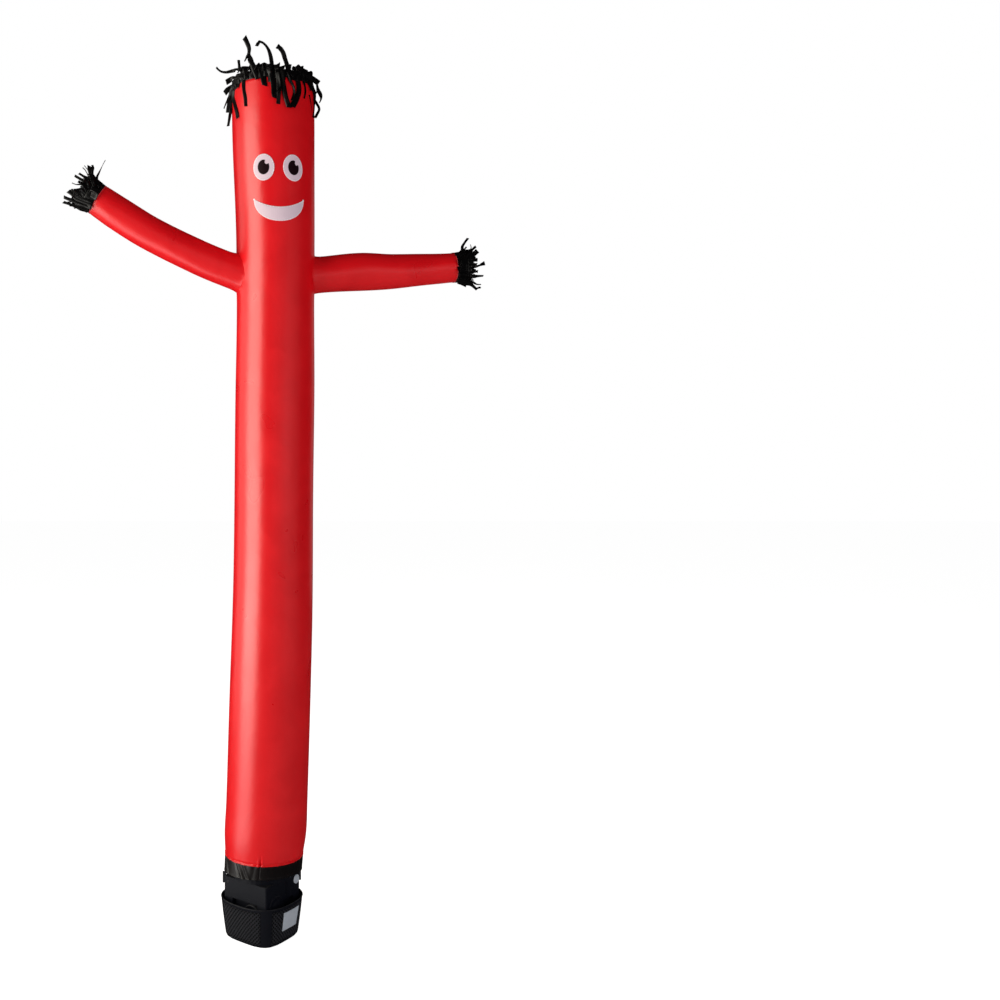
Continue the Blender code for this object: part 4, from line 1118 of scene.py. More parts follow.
class AIRDANCER_OT_finishes(bpy.types.Operator):
    """Makes the node groups and the materials of cloth, thread and plastic"""

    bl_idname = "air_dancer.finishes"
    bl_label = "Finishes"

    def execute(self, context):
        for make_group in (group_weave, group_creases, group_grain, group_dust, group_scuffs):
            make_group()
        wanted = properties()
        nylon_material("red_satin", wanted.red, 0.30, crease=0.10, ior=1.7)
        nylon_material("cuff_satin", wanted.cuff, 0.34, crease=0.30, ior=1.6)
        nylon_material("black_satin", wanted.black, 0.42, crease=0.22, ior=1.42)
        cloth_material("white_patch", wanted.white, 0.62, grid=0.0044, crease=0.12)
        made = cloth_material("black_patch", wanted.pupil, 0.50, grid=0.0044, crease=0.12)
        feed(*made, IOR=1.2)
        thread_material("red_thread", wanted.seam)
        thread_material("pink_thread", wanted.piping)
        thread_material("black_thread", wanted.band_thread)
        thread_material("white_thread", wanted.border)
        plastic_material("black_moulding", wanted.plastic, 0.46)
        plastic_material("grey_moulding", wanted.grille, 0.50)
        film_material("silver_film", wanted.film)
        # The screen inside the grilles: a dust screen, and near-black painted shade for the dark
        # inside of the base.
        mesh_cloth = {"grid": 0.0064, "crease": 0.05, "pitch": 0.0016}
        cloth_material("dust_screen_plastic", wanted.screen, 0.90, **mesh_cloth)
        return {"FINISHED"}


class AIRDANCER_OT_body(bpy.types.Operator):
    """Makes the body tube with its gathers, and the felled seam up its back"""

    bl_idname = "air_dancer.body"
    bl_label = "Body"

    def execute(self, context):
        top = HEM + TUCK
        # Rows lie closer at the foot's gathers, round the arms and at the head's hem.
        stops = ((FOOT, 36), (0.40, 96), (2.36, 52), (2.66, 44), (3.12, 28), (top, 0))
        heights = dense_rows(*stops)
        near_pleat = 2 * math.pi + PLEAT_ANGLE + np.linspace(-0.11, 0.09, 25)
        angles = np.union1d(full_turn(160), near_pleat)
        points = skin_point(angles[None, :], heights[:, None])
        size = (2 * math.pi * BODY_RADIUS, HEM - FOOT)
        lines = (np.append(angles, 2 * math.pi) / (2 * math.pi), (heights - FOOT) / size[1])
        body = add_grid("dancer_body", points, size, True, keep=self.beside_arms, lines=lines)
        thicken(body, properties().cloth)
        finish(body, "red_satin", ["tube"])
        seam = self.add_back_seam()
        return {"FINISHED"}

    def beside_arms(self, middles):
        """Which faces stay: those not open to an arm."""
        kept = np.ones(len(middles), bool)
        for arm in ARMS:
            reach = np.hypot(middles[:, 0] - ARM_AXIS_X, middles[:, 1])
            middle, across, up, _ = arm_axis(arm, reach)
            off = middles - middle
            far = np.hypot((off * across).sum(-1), (off * up).sum(-1))
            side = arm.side * (middles[:, 0] - ARM_AXIS_X) > 0
            kept &= ~(side & (far < ARM_OPENING * along(arm.outline, RADIUS, reach)))
        return kept

    def add_back_seam(self):
        """A flat felled seam: a low strip with a long round edge on either side."""
        heights = np.linspace(FOOT + 0.002, HEM - 0.002, 400)
        turn = np.full_like(heights, math.pi)
        path = skin_point(turn, heights)
        seam = add_bead("back_seam", path, outward(turn), BACK_SEAM, closed=False)
        return finish(seam, "red_satin")


class AIRDANCER_OT_arms(bpy.types.Operator):
    """Makes the two sleeves, which flare where they are sewn into the body"""

    bl_idname = "air_dancer.arms"
    bl_label = "Arms"

    def execute(self, context):
        for arm in ARMS:
            self.add_sleeve(arm)
        return {"FINISHED"}

    def add_sleeve(self, arm):
        """Rows run from the arm's root on the body to the hand: the reach is the root's
        plus a share of the rest, closer together at either end. The cloth flares at the
        root, gathers there and at the hand, and waves a little between."""
        angle = full_turn(96)
        root = arm_root(arm, angle, SLEEVE_FLARE)[None, :] - ROOT_INSET
        share = dense_rows((0, 26), (0.10, 60), (0.92, 14), (1.0, 0))[:, None]
        hand = arm.outline[-1, 0]
        reach = root + (hand + TUCK - root) * share
        proud = SLEEVE_FLARE * fading(reach - root, 0.0120)
        rays = np.sin(11 * angle + arm.side) + 0.7 * np.sin(19 * angle)
        proud = proud + 0.0004 * rays * fading(reach - root, 0.030)
        proud = proud + 0.0005 * np.sin(15 * angle) * fading(hand - reach, 0.018)
        proud = proud + 0.0007 * np.sin(2 * angle + 14 * reach + arm.side)
        proud = proud + 0.0005 * np.sin(3 * angle - 22 * reach)
        proud = tucked_in(proud, reach - hand)
        points = arm_point(arm, np.broadcast_to(angle, reach.shape), reach, proud)
        size = (2 * math.pi * SLEEVE_RADIUS, hand - LEFT_ARM[1, 0])
        lines = (np.linspace(0, 1, 97), share[:, 0])
        sleeve = add_grid("sleeve_" + arm.word, points, size, round_u=True, lines=lines)
        thicken(sleeve, properties().cloth)
        finish(sleeve, "red_satin", ["arm_" + arm.word])


class AIRDANCER_OT_cuff(bpy.types.Operator):
    """Makes the black foot band with its folds and lapped ends, and the foot's piping"""

    bl_idname = "air_dancer.cuff"
    bl_label = "Foot band"

    def execute(self, context):
        points = cuff_point(full_turn(520)[None, :], np.linspace(0, 1, 24)[:, None])
        cuff = add_grid("foot_band", points, (0.93, 0.067), round_u=True)
        thicken(cuff, properties().cloth)
        finish(cuff, "cuff_satin", ["foot_cuff"])
        turn = full_turn(264)
        hem = cuff_point(turn, np.full_like(turn, 0.03))
        hem_roll = add_bead("foot_band_hem", hem, outward(turn), CUFF_ROLL)
        finish(hem_roll, "cuff_satin")
        seam = skin_point(turn, np.full_like(turn, FOOT + 0.0015), -0.0003)
        piping = add_bead("foot_piping", seam, outward(turn), FOOT_PIPING)
        finish(piping, "red_satin")
        return {"FINISHED"}


class Fringe:
    """A band round a sleeve's end, cut into ribbons, in that end's frame: the third
    direction runs out of the sleeve, and the front is at minus the second."""

    def __init__(self, radius, band, flare, count, place, turn, droop):
        self.radius, self.band, self.count = radius, band, count
        self.root_radius = radius + flare
        self.place, self.turn = place, turn
        self.pitch = 2 * math.pi / count
        self.width = RIBBON_SHARE * self.pitch * radius
        self.pull = turn.T @ np.array((0.0, 0.0, -droop))

    def path(self, ribbon):
        """A ribbon's middle line and its directions along and across: the sum of small
        steps, whose direction leans outward, then sideways, and sags."""
        s = np.linspace(0, 1, RIBBON_ROWS)
        angle = ribbon.number * self.pitch
        axis, out = np.array((0.0, 0.0, 1.0)), outward(angle)
        sideways = np.array((math.cos(angle), math.sin(angle), 0.0))
        bend = smooth_step((s - ribbon.bend_at) / ribbon.bend_over + 0.5)
        lean = np.radians(between(ribbon.lean_root, ribbon.lean_tip, bend))[:, None]
        turn = smooth_step((s - ribbon.side_from) / 0.4)
        side = np.radians(between(ribbon.side_root, ribbon.side_tip, turn))[:, None]
        leaning = np.cos(lean) * axis + np.sin(lean) * out
        ahead = unit(np.cos(side) * leaning + np.sin(side) * sideways + self.pull * s[:, None])
        across = unit(np.cross(np.cos(lean) * out - np.sin(lean) * axis, ahead))
        roll = ribbon.roll * smooth_step((s - ribbon.roll_from) / 0.35)
        steps = np.cumsum(ahead[:-1] * (ribbon.length * s[1]), axis=0)
        start = out * self.root_radius + axis * self.band
        return s, start + np.append(np.zeros((1, 3)), steps, axis=0), ahead, across, roll

    def ribbon_points(self, ribbon, dice):
        """A ribbon's cloth: it swells from its root and narrows a little to its tip."""
        s, *course = self.path(ribbon)
        width = self.width * between(1, RIBBON_SWELL, smooth_step(s / 0.25))
        width = width * (1 - 0.1 * smooth_step((s - 0.35) / 0.65))
        return self.cloth(s, *course, width, dice)

    def strand_points(self, strand, places, front, dice):
        """A measured ribbon's cloth, along a smooth line through its places."""
        s = np.linspace(0, 1, STRAND_ROWS)
        path, share = smooth_line(places, s), smooth_step(s)
        ahead = unit(np.gradient(path, axis=0))
        across = unit(np.cross(ahead, np.array(front)))
        roll = between(strand.roll_root, strand.roll_tip, share)
        width = 0.001 * between(strand.width_root, strand.width_tip, share)
        return self.cloth(s, path, ahead, across, roll, width, dice)

    def cloth(self, s, path, ahead, across, roll, width, dice):
        """A ribbon's surface, turned about its length by roll: its middle stands out like
        a shallow gutter, slow ripples run along it, and its end is cut at a slant."""
        roll = np.radians(roll)[:, None]
        across = across * np.cos(roll) + np.cross(ahead, across) * np.sin(roll)
        facing = np.cross(ahead, across)
        x = np.linspace(-0.5, 0.5, RIBBON_COLUMNS)[None, :, None]
        s, width = s[:, None, None], width[:, None, None]
        slant, hollow = dice.uniform(-0.5, 0.5), dice.uniform(-0.0014, 0.0014)
        phase, ripple = dice.uniform(0, 6.28), dice.uniform(0.0003, 0.0009)
        width = width * (1 + 0.05 * np.sin(9 * s + phase))
        out = hollow * (1 - 4 * x * x) + ripple * np.sin(11 * s + phase + 2.5 * x)
        points = path[:, None] + across[:, None] * x * width
        points = points + facing[:, None] * out * smooth_step(s / 0.12)
        return points + ahead[:, None] * slant * x * width * smooth_step(s * 5 - 4)

    def surface(self, ribbons, strands, places_of, front, seed):
        """The band and all its ribbons: one mesh's points, faces and map, with the flat
        size of its strip and the area of its cloth."""
        dice = random.Random(seed)
        columns, rows = 4 * self.count, 9
        angle = full_turn(columns)[None, :]
        share = np.linspace(0, 1, rows)[:, None]
        radius = between(self.radius, self.root_radius, share)
        radius = radius + 0.0004 * np.sin(17 * angle) * np.sin(math.pi * share)
        band = ring_point(angle, radius, between(CLEARANCE, self.band, share))
        faces, corners = grid_faces(rows, columns, True)
        girth = 2 * math.pi * self.radius
        maps = [corners * (girth / columns, self.band / (rows - 1))]
        parts = [(band, faces)]
        pieces = [self.ribbon_points(ribbon, dice) for ribbon in ribbons]
        for strand in strands:
            places = places_of(strand, 1000 * self.radius)
            pieces.append(self.strand_points(strand, places, front, dice))
        area, longest = girth * self.band, 0.0
        for number, points in enumerate(pieces):
            faces, corners = grid_faces(*points.shape[:2])
            parts.append((points, faces))
            length = np.linalg.norm(np.diff(points[:, 2], axis=0), axis=1).sum()
            width = np.linalg.norm(points[5, -1] - points[5, 0])
            scale = (width / (RIBBON_COLUMNS - 1), length / (len(points) - 1))
            maps.append(corners * scale + (number * 0.03, 0.5))
            area += width * length
            longest = max(longest, length)
        verts, faces = join_parts(parts)
        size = (girth, longest + self.band), area
        return verts @ self.turn.T + self.place, faces, np.concatenate(maps), size


def draw_head_ribbon(number, dice):
    """A ribbon of the head: most fold over and hang outside, some stick out."""
    turns = (0, dice.uniform(-20, 20), 0.3, dice.uniform(-40, 40), 0.3)
    kind = dice.random()
    if kind < 0.6:
        length, tip = dice.uniform(0.12, 0.19), dice.uniform(166, 180)
        return Ribbon(number, length, 8, tip, dice.uniform(0.09, 0.16), 0.17, *turns)
    if kind < 0.8:
        length, tip = dice.uniform(0.06, 0.10), dice.uniform(90, 140)
        return Ribbon(number, length, 12, tip, dice.uniform(0.25, 0.45), 0.50, *turns)
    length, tip = dice.uniform(0.05, 0.10), dice.uniform(-20, 60)
    return Ribbon(number, length, 5, tip, 0.60, 0.60, *turns)


def draw_hand_ribbon(number, dice):
    """A short ribbon of a hand, which streams out of the sleeve or splays a little."""
    turns = (dice.uniform(-16, 16), dice.uniform(-30, 30), 0.2, dice.uniform(-40, 40), 0.2)
    length, tip = dice.uniform(0.024, 0.050), dice.uniform(-12, 30)
    return Ribbon(number, length, 6, tip, dice.uniform(0.3, 0.6), 0.60, *turns)


def drawn_ribbons(draw, numbers, seed):
    """Ribbons of a kind, drawn in turn from one seed."""
    dice = random.Random(seed)
    return [draw(number, dice) for number in numbers]


def tufts(count, lengths, tips, seed):
    """Short ribbons between the others, crumpled close to the band."""
    dice = random.Random(seed + 100)
    made = []
    for number in range(count):
        if count == HEAD_COUNT and min(number, count - number) in BARE_SIDES:
            continue
        turns = (dice.uniform(-18, 18), dice.uniform(-40, 40), 0.2, dice.uniform(-50, 50), 0.1)
        length, tip = dice.uniform(*lengths), dice.uniform(*tips)
        root, bend = dice.uniform(2, 14), dice.uniform(0.30, 0.45)
        made.append(Ribbon(number + 0.5, length, root, tip, bend, 0.5, *turns))
    return made


def head_places(strand, radius):
    """A measured ribbon's places round the head, in front of the hem's circle."""
    places = []
    for across, up, *given in strand.places:
        round_hem = radius * math.sqrt(max(0.02, 1 - (across / radius) ** 2))
        forward = given[0] if given else round_hem + strand.lift
        places.append((across, -forward, up))
    return 0.001 * np.array(places)


def hand_places(strand, radius):
    """A measured ribbon's places at a hand: it starts on the front of the hem's circle
    and comes a third nearer to the hand's middle."""
    root = radius * math.sqrt(max(0.1, 1 - (strand.places[0][0] / radius) ** 2))
    up, out = np.array(strand.places).T
    return 0.001 * stack((root + strand.lift) * np.linspace(1, 0.65, len(up)), up, out)


def head_fringe():
    """The hair: its frame stands upright on the head's hem."""
    place = np.array((BODY[-1, SIDEWAYS], 0.0, HEM))
    return Fringe(BODY[-1, RADIUS], HEAD_BAND, 0.0, HEAD_COUNT, place, np.eye(3), 0.15)


def hand_fringe(arm):
    """A hand: its frame lies along the end of its arm."""
    hand = arm.outline[-1]
    place, across, up, axis = arm_axis(arm, np.array(hand[0]))
    turn = np.stack((across, up, axis), axis=1)
    return Fringe(hand[RADIUS], HAND_BAND, HAND_FLARE, HAND_COUNT, place, turn, 0.30)


class AIRDANCER_OT_fringes(bpy.types.Operator):
    """Makes the hair and the hands: bands cut into crumpled ribbons"""

    bl_idname = "air_dancer.fringes"
    bl_label = "Fringes"

    def execute(self, context):
        ribbons = drawn_ribbons(draw_head_ribbon, HAIR_BACK, SEED)
        ribbons += tufts(HEAD_COUNT, (0.030, 0.048), (140, 190), SEED)
        strands = (HEAD_STRANDS, head_places, (0, -1, 0))
        self.add_fringe("hair", head_fringe(), ribbons, strands, "hair_fringe", "dancer_body")
        for arm, measured in zip(ARMS, (LEFT_STRANDS, RIGHT_STRANDS)):
            ribbons = drawn_ribbons(draw_hand_ribbon, range(HAND_COUNT), SEED + arm.side)
            ribbons += tufts(HAND_COUNT, (0.018, 0.036), (-10, 30), SEED + arm.side)
            node, name = "hand_fringe_" + arm.word, "hand_" + arm.word
            strands = (measured, hand_places, (1, 0, 0))
            self.add_fringe(name, hand_fringe(arm), ribbons, strands, node, "sleeve_" + arm.word)
        return {"FINISHED"}

    def add_fringe(self, name, fringe, ribbons, strands, node, carrier):
        """One fringe. Its carrier is not used."""
        made = fringe.surface(ribbons, *strands, SEED + fringe.count)
        verts, faces, maps, (flat, area) = made
        piece = add_mesh(name, verts, faces, maps)
        thicken(piece, properties().ribbon, 0.0)
        finish(piece, "black_satin", [node])
        area = min(area, flat[0] * flat[1])


class AIRDANCER_OT_face(bpy.types.Operator):
    """Makes the eyes, pupils and mouth: sewn patches with borders of thread"""

    bl_idname = "air_dancer.face"
    bl_label = "Face"

    def execute(self, context):
        for side, word in ((-1, "left"), (1, "right")):
            middle = side * EYE_SPACING / 2
            eye_edge, pupil_edge = self.oval(middle, EYE_SIZE), self.bitten(middle)
            eye = self.add_disc("eye_patch_" + word, eye_edge, 0)
            finish(eye, "white_patch", ["eye_" + word])
            pupil = self.add_disc("pupil_patch_" + word, pupil_edge, 1)
            finish(pupil, "black_patch", ["pupil_" + word])
            border = self.add_border("eye_border_" + word, eye_edge, 0)
            self.lay(eye, EYE_SIZE, EYE_SHARE * math.prod(EYE_SIZE), "dancer_body", border)
            trim = self.add_border("pupil_border_" + word, pupil_edge, 1)
            self.lay(pupil, PUPIL_SIZE, PUPIL_SHARE * math.prod(PUPIL_SIZE), eye, trim)
        mouth = self.add_mouth()
        finish(mouth, "white_patch", ["mouth"])
        border = self.add_border("mouth_border", self.smile_edge(), 0)
        self.lay(mouth, MOUTH_SIZE, MOUTH_AREA, "dancer_body", border)
        return {"FINISHED"}

    def lay(self, patch, flat, area, under, border):
        """Puts what a patch rests on and its border into lists, and keeps neither. Its flat size
        and area are not used.
        """
        rests, sewn = [under], [border]
        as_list(rests)
        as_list(sewn)

    def lift(self, layer):
        """How far a layer's patches lie off the body's cloth."""
        return 2 * CLEARANCE + layer * (PATCH + CLEARANCE)

    def oval(self, middle, size):
        """An oval's edge as (u, v) points."""
        turn = full_turn(160)
        u = middle + np.cos(turn) * size[0] / 2
        return np.stack((u, EYE_HEIGHT + np.sin(turn) * size[1] / 2), axis=1)

    def bitten(self, middle):
        """A pupil's edge: on each ray from its middle, the oval or the near side of the
        round bite, whichever comes first."""
        turn = full_turn(220)
        ray = np.stack((np.cos(turn), np.sin(turn)), axis=1)
        half = np.array(PUPIL_SIZE) / 2
        oval = 1 / np.hypot(ray[:, 0] / half[0], ray[:, 1] / half[1])
        ahead = ray @ np.array(GLINT_PLACE)
        inside = ahead**2 - (np.dot(GLINT_PLACE, GLINT_PLACE) - GLINT_RADIUS**2)
        hits = (inside > 0) & (ahead > 0)
        near = np.where(hits, ahead - np.sqrt(np.maximum(inside, 0)), oval)
        reach = np.minimum(oval, near)[:, None]
        return ray * reach + (middle, EYE_HEIGHT)

    def smile(self, count):
        """Shares of the mouth's half width, and the heights there of its lower arc, half
        an ellipse with blunt ends, and of its upper arc, a parabola."""
        s = np.sin(np.linspace(-math.pi / 2, math.pi / 2, count))
        lower = MOUTH_TIP_Z - MOUTH_TIP - MOUTH_LOWER_SAG * np.sqrt(1 - s * s * 0.999)
        return s, lower, MOUTH_TIP_Z - MOUTH_UPPER_SAG * (1 - s * s)

    def smile_edge(self):
        """The mouth's edge: its lower arc to the right and its upper arc back."""
        s, lower, upper = self.smile(150)
        there = np.stack((s * MOUTH_HALF_WIDTH, lower), axis=1)
        back = np.stack((s * MOUTH_HALF_WIDTH, upper), axis=1)[::-1]
        return np.concatenate((there, back[1:-1]))

    def puckered(self, share, turn):
        """Small gathers that the border's tension draws into a patch's rim."""
        return 0.00025 * np.sin(26 * turn) * share**4 + 0.0006 * (1 - share**2)

    def add_disc(self, name, edge, layer):
        """A patch: rings between its middle and its edge, laid on the cloth."""
        share = np.linspace(0.0, 1.0, 15)[:, None, None]
        middle = edge.mean(axis=0)
        flat = middle + (edge - middle) * share
        turn = full_turn(len(edge))[None, :]
        proud = self.lift(layer) + self.puckered(share[..., 0], turn)
        points = face_point(flat[..., 0], flat[..., 1], proud)
        rings, columns = points.shape[:2]
        faces, _ = grid_faces(rings - 1, columns, True)
        centre = [(0, 1 + j, 1 + (j + 1) % columns) for j in range(columns)]
        faces = (faces[:, ::-1] + 1).tolist() + centre
        verts = np.concatenate((points[0, :1], points[1:].reshape(-1, 3)))
        places = np.concatenate((flat[0, :1], flat[1:].reshape(-1, 2)))
        return thicken(add_mesh(name, verts, faces, places[np.concatenate(faces)]), PATCH, 1.0)

    def add_mouth(self):
        """The mouth: columns from its lower arc to its upper arc, a little domed, with
        ripples along both arcs."""
        s, lower, upper = self.smile(90)
        t = np.linspace(0, 1, 13)[:, None]
        dome = 0.0008 * (1 - (2 * t - 1) ** 2) * (1 - s * s)
        ripples = 0.0003 * np.sin(60 * s) * (2 * t - 1) ** 4
        proud = self.lift(0) + dome + ripples
        points = face_point(s * MOUTH_HALF_WIDTH + 0 * t, between(lower, upper, t), proud)
        return thicken(add_grid("mouth_patch", points, (MOUTH_SIZE[0], 0.06)), PATCH, 1.0)

    def add_border(self, name, edge, layer):
        """A border of close stitches that lie across the patch's edge, over a cord."""
        width, thread, slot = BORDERS[layer]
        ahead = np.roll(edge, -1, axis=0) - np.roll(edge, 1, axis=0)
        inward = unit(np.stack((-ahead[:, 1], ahead[:, 0]), axis=1))
        u, v = (edge + inward * (width * 0.42)).T
        path = face_point(u, v, self.lift(layer) + PATCH * 0.6)
        normals = outward(FACE_TURN + u / along(BODY, RADIUS, v))
        cord = carried(path, normals, half_round(width * 0.8, 0.0009))
        pitch, *thread_size = BORDER_STITCH
        row = stitch_row(path, normals, pitch, width, *thread_size, BORDER_SLANT)
        return finish(add_mesh(name, *join_parts((cord, row))), thread)


class AIRDANCER_OT_stitching(bpy.types.Operator):
    """Sews the seams and hems: rows of thread stitches on cloth and bands"""

    bl_idname = "air_dancer.stitching"
    bl_label = "Stitching"

    def execute(self, context):
        turn = full_turn(360)
        out, level = outward(turn), np.ones_like(turn)
        foot = [(skin_point(turn, level * (FOOT + rise)), out) for rise in FOOT_ROWS]
        self.add_rows("foot_stitches", foot, "red")
        hem = [(cuff_point(turn, level * share), out) for share in CUFF_ROWS]
        self.add_rows("foot_band_stitches", hem, "black")
        head = [(skin_point(turn, level * (HEM - HEM_ROW)), out)]
        self.add_rows("head_hem_stitches", head, "red")
        self.add_back_rows()
        self.add_band_rows("hair_stitches", head_fringe())
        for arm in ARMS:
            self.add_band_rows("hand_stitches_" + arm.word, hand_fringe(arm))
            self.add_arm_rows(arm)
        return {"FINISHED"}

    def add_rows(self, name, paths, colour, closed=True):
        """Rows of plain stitches, each along a path with its normals."""
        wanted = properties()
        sizes = (wanted.stitch_pitch, wanted.stitch, wanted.thread, STITCH_HEIGHT)
        rows = [stitch_row(*path, *sizes, closed=closed) for path in paths]
        finish(add_mesh(name, *join_parts(rows)), colour + "_thread")

    def add_back_rows(self):
        """Two rows up the back, on either side of the felled seam's middle."""
        heights = np.linspace(FOOT + 0.004, HEM - 0.004, 400)
        rows = []
        for off in BACK_ROWS:
            turn = np.full_like(heights, math.pi + off)
            rows.append((skin_point(turn, heights, 0.0006), outward(turn)))
        self.add_rows("back_stitches", rows, "red", closed=False)

    def add_band_rows(self, name, fringe):
        """Two rows round a band: above its hem and below its slits."""
        out = outward(full_turn(300))
        paths = []
        for share in BAND_ROWS:
            radius = between(fringe.radius, fringe.root_radius, share) + 0.0005
            path = out * radius + (0.0, 0.0, fringe.band * share)
            paths.append((path @ fringe.turn.T + fringe.place, out @ fringe.turn.T))
        self.add_rows(name, paths, "black")

    def add_arm_rows(self, arm):
        """A row on the sleeve below the hand's band, and the piping at its end."""
        row = self.round_sleeve(arm, 0.006, 0.0003)
        self.add_rows("sleeve_stitches_" + arm.word, [row], "red")
        end = self.round_sleeve(arm, 0.0006, 0.0)
        piping = add_bead("hand_piping_" + arm.word, *end, HAND_PIPING)
        finish(piping, "pink_thread")

    def round_sleeve(self, arm, before, proud):
        """A path round a sleeve, before its end, and its normals."""
        turn = full_turn(240)
        reach = np.full_like(turn, arm.outline[-1, 0] - before)
        path = arm_point(arm, turn, reach, proud)
        return path, unit(path - arm_axis(arm, reach)[0])


class AIRDANCER_OT_grilles(bpy.types.Operator):
    """Makes the four pierced grilles of the blower's base"""

    bl_idname = "air_dancer.grilles"
    bl_label = "Grilles"

    def execute(self, context):
        for side in range(len(SIDES)):
            self.add_grille(side)
        return {"FINISHED"}

    def add_grille(self, side):
        """A lattice of slanted slots that fills a side's window. The slots' rows rise
        towards the right or the left on every other side."""
        corner = np.linalg.norm(base_point(0.0, BASE_HEIGHT)[:2])
        half = math.pi / 4 - math.asin(BASE_COLUMN / 2 / corner) - 2 * GRILLE_PLAY
        low, high = WINDOW_LOW + GRILLE_PLAY, WINDOW_HIGH - GRILLE_PLAY
        flat, faces = self.lattice(half * GRILLE_RADIUS, low, high, side % 2 == 0)
        verts = base_point(side_turn(side) + flat[:, 0] / GRILLE_RADIUS, flat[:, 1], -0.0002)
        name = "grille_" + SIDES[side]
        grille = add_mesh("pierced_" + name, verts, faces, smooth=False)
        thicken(grille, GRILLE_THICKNESS)
        finish(grille, "grey_moulding", [name])

    def lattice(self, half_width, low, high, falling):
        """Square cells stood on their corners, each with four faces round a slot that is
        longer along the rows than across them."""
        wanted = properties()
        count = round((high - low) / wanted.hole_height)
        step_v = (high - low) / count / 2
        across = round(half_width * 2 / wanted.hole_pitch)
        step_u = half_width / across
        i, j = np.meshgrid(np.arange(-across + 1, across), np.arange(1, 2 * count))
        i, j = i.ravel(), j.ravel()
        chosen = (i + j + across) % 2 == 0
        i, j = i[chosen][:, None], j[chosen][:, None]
        around = np.array(((1, 0), (0, 1), (-1, 0), (0, -1)), float)
        slot = SLOT_CORNERS * SLOT_SHARES / 2
        inner = np.stack((slot[:, 0] - slot[:, 1], slot[:, 0] + slot[:, 1]), axis=1)
        if falling:
            inner = inner[[2, 1, 0, 3]] * (-1, 1)
        centre = np.stack((i, j), axis=-1)
        points = np.concatenate((centre + around, centre + inner), axis=1)
        start = np.arange(len(points))[:, None] * 8
        faces = []
        for k in range(4):
            n = (k + 1) % 4
            corners = (start + k, start + n, start + 4 + n, start + 4 + k)
            faces.append(np.concatenate(corners, axis=1))
        points = points.reshape(-1, 2) * (step_u, step_v) + (0, low)
        return points, np.concatenate(faces)


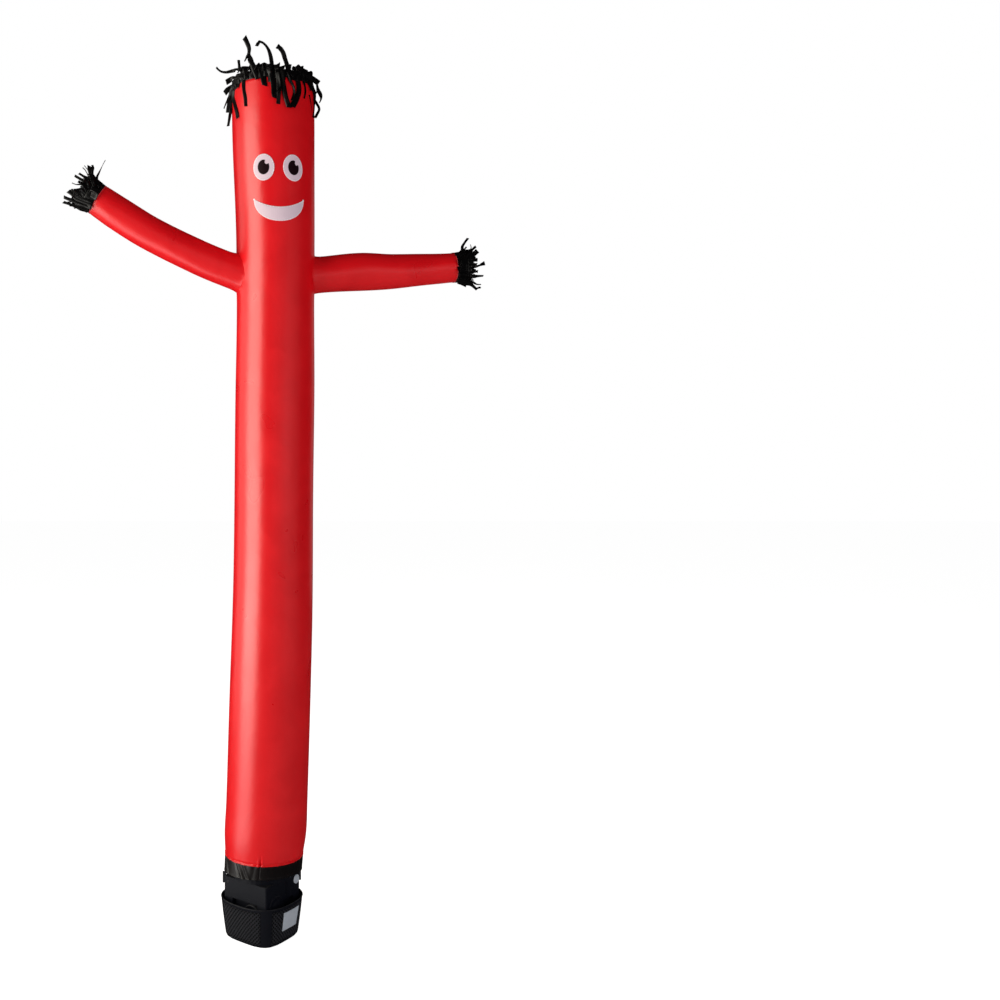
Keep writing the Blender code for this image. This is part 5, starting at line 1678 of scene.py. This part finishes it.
class AIRDANCER_OT_blower(bpy.types.Operator):
    """Finishes the blower: plastic on its mouldings, its rim, screws, covers and ledge"""

    bl_idname = "air_dancer.blower"
    bl_label = "Blower"

    def execute(self, context):
        kept = {
            "black_moulding": ("blower_base", "blower_housing", "fan_collar", "outlet_ring"),
            "grey_moulding": ("latch_left", "latch_right", "cord_gland"),
            "silver_film": ("blank_plate", "badge_disc"),
        }
        for material, nodes in kept.items():
            for node in nodes:
                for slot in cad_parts[node].material_slots:
                    slot.material = bpy.data.materials[material]
        self.add_rim()
        self.add_screws()
        self.add_covers()
        self.add_screen_and_painted_shade()
        self.add_ledge()
        self.add_plate_line()
        self.add_badge_ring()
        self.add_gland_ribs()
        return {"FINISHED"}

    def add_rim(self):
        """The base's rolled rim, oval across."""
        angle, turn = full_turn(240), full_turn(12)
        path = base_point(angle, np.full_like(angle, BASE_HEIGHT - RIM_DROP), -WALL / 2)
        profile = np.stack((np.cos(turn), np.sin(turn)), axis=1) * RIM_HALF
        normals = np.broadcast_to((0.0, 0.0, 1.0), path.shape)
        rim = add_mesh("base_rim", *carried(path, normals, profile))
        finish(rim, "black_moulding")

    def turned(self, side, place, radius, edge, dish, steps):
        """A turned shape on a side of the housing: an edge and a dish swept round the
        axis that leaves the side at the place."""
        rim = [(radius - 0.001 * inset, 0.001 * out) for inset, out in edge]
        rim += [(max(radius * share, 0.0001), 0.001 * out) for share, out in dish]
        spread, rise = np.array(rim).T[..., None, None]
        along_side, up, outside = side_axes(side)
        turn = full_turn(steps)[None, :, None]
        level = along_side * np.cos(turn) + up * np.sin(turn)
        points = housing_point(side, *place) + spread * level + outside * rise
        return points, grid_faces(len(rim), steps, True)[0]

    def add_screws(self):
        """Sunk screws near the housing's upper corners: two on each back side and one on the
        front left.
        """
        parts = []
        for side, spacing in enumerate(SCREW_SPACINGS):
            for across in spacing:
                place = (across, SCREW_HEIGHT, 0.0)
                parts.append(self.turned(side, place, SCREW_RADIUS, SCREW_EDGE, ((0, 0.4),), 20))
        finish(add_mesh("housing_screws", *join_parts(parts)), "grey_moulding")

    def add_screen_and_painted_shade(self):
        """A thin near-black screen inside the grilles, all round the base: a dust screen, and
        painted shade for the dark inside of the base that shows through the slots.
        """
        heights = np.linspace(0.012, BASE_HEIGHT - 0.004, 12)[:, None]
        points = base_point(full_turn(120)[None, :], heights, -WALL - SCREEN_INSET)
        sleeve = add_grid("filter_and_shade_sleeve", points, (0.9, 0.12), round_u=True)
        thicken(sleeve, SCREEN_THICKNESS)
        finish(sleeve, "dust_screen_plastic")

    def add_covers(self):
        """Round fan covers in the intakes, each with a rolled edge and a shallow dish."""
        parts = []
        for side in range(len(SIDES)):
            across, height, radius = COVERS[side % 2]
            place = (across, height, 0.0)
            parts.append(self.turned(side, place, radius, COVER_EDGE, COVER_DISH, 64))
        covers = add_mesh("fan_covers", *join_parts(parts))
        finish(covers, "black_moulding")

    def add_ledge(self):
        """The narrow ledge on the front right side, below the badge."""
        path = housing_point(0, np.linspace(*LEDGE_ENDS, 12), LEDGE_HEIGHT, 0.0)
        normals = np.broadcast_to(side_axes(0)[2], path.shape)
        ledge = add_bead("housing_ledge", path, normals, LEDGE, closed=False)
        finish(ledge, "black_moulding")

    def add_plate_line(self):
        """A raised line round the blank plate."""
        half_u = PLATE_SIZE[0] / 2 / PLATE_RADIUS - 0.016
        half_v = PLATE_SIZE[1] / 2 - 0.0023
        t = np.linspace(0, 1, 30, endpoint=False)
        one = np.ones_like(t)
        u = np.concatenate((2 * t - 1, one, 1 - 2 * t, -one)) * half_u
        v = np.concatenate((-one, 2 * t - 1, one, 1 - 2 * t)) * half_v
        angle = side_turn(0) + PLATE_TURN + u
        path = base_point(angle, PLATE_HEIGHT + v, PLATE_FACE)
        line = add_bead("plate_line", path, outward(angle + BLOWER_TURN), PLATE_LINE)
        finish(line, "silver_film")

    def add_badge_ring(self):
        """The blank badge's raised ring and its shallow domed middle."""
        shape = self.turned(0, BADGE_PLACE, BADGE_RADIUS, BADGE_EDGE, BADGE_DISH, 48)
        finish(add_mesh("badge_ring", *shape), "silver_film")

    def add_gland_ribs(self):
        """The gland's collar: a flange, four ribs and a mouth."""
        edge = [(-4.0, 0.0), (-4.0, 1.5)]
        for rib in range(4):
            low = 2.5 + 2.8 * rib
            edge += [(-0.5, low), (-1.8, low + 0.8), (-1.8, low + 1.6), (-0.5, low + 2.4)]
        edge += [(3.0, GLAND_LENGTH + 0.6), (4.5, GLAND_LENGTH - 0.6)]
        shape = self.turned(2, GLAND_PLACE, GLAND_RADIUS, edge, ((0, GLAND_LENGTH),), 28)
        finish(add_mesh("gland_ribs", *shape), "grey_moulding")


OPERATORS = (
    AIRDANCER_OT_stage,
    AIRDANCER_OT_finishes,
    AIRDANCER_OT_body,
    AIRDANCER_OT_arms,
    AIRDANCER_OT_cuff,
    AIRDANCER_OT_fringes,
    AIRDANCER_OT_face,
    AIRDANCER_OT_stitching,
    AIRDANCER_OT_grilles,
    AIRDANCER_OT_blower,
)


class AIRDANCER_PT_panel(bpy.types.Panel):
    """Lists the air dancer's sizes and its pieces"""

    bl_idname = "AIRDANCER_PT_panel"
    bl_label = "Air dancer"
    bl_space_type = "VIEW_3D"
    bl_region_type = "UI"
    bl_category = "Air dancer"

    def draw(self, context):
        for word in AirDancerSizes.__annotations__:
            self.layout.prop(context.scene.air_dancer, word)
        for operator in OPERATORS:
            self.layout.operator(operator.bl_idname)


CLASSES = (AirDancerSizes, *OPERATORS, AIRDANCER_PT_panel)


def register():
    for item in CLASSES:
        bpy.utils.register_class(item)
    bpy.types.Scene.air_dancer = bpy.props.PointerProperty(type=AirDancerSizes)


def unregister():
    del bpy.types.Scene.air_dancer
    for item in reversed(CLASSES):
        bpy.utils.unregister_class(item)


def main():
    register()
    for operator in OPERATORS:
        group, word = operator.bl_idname.split(".")
        getattr(getattr(bpy.ops, group), word)()


if __name__ == "__main__":
    main()
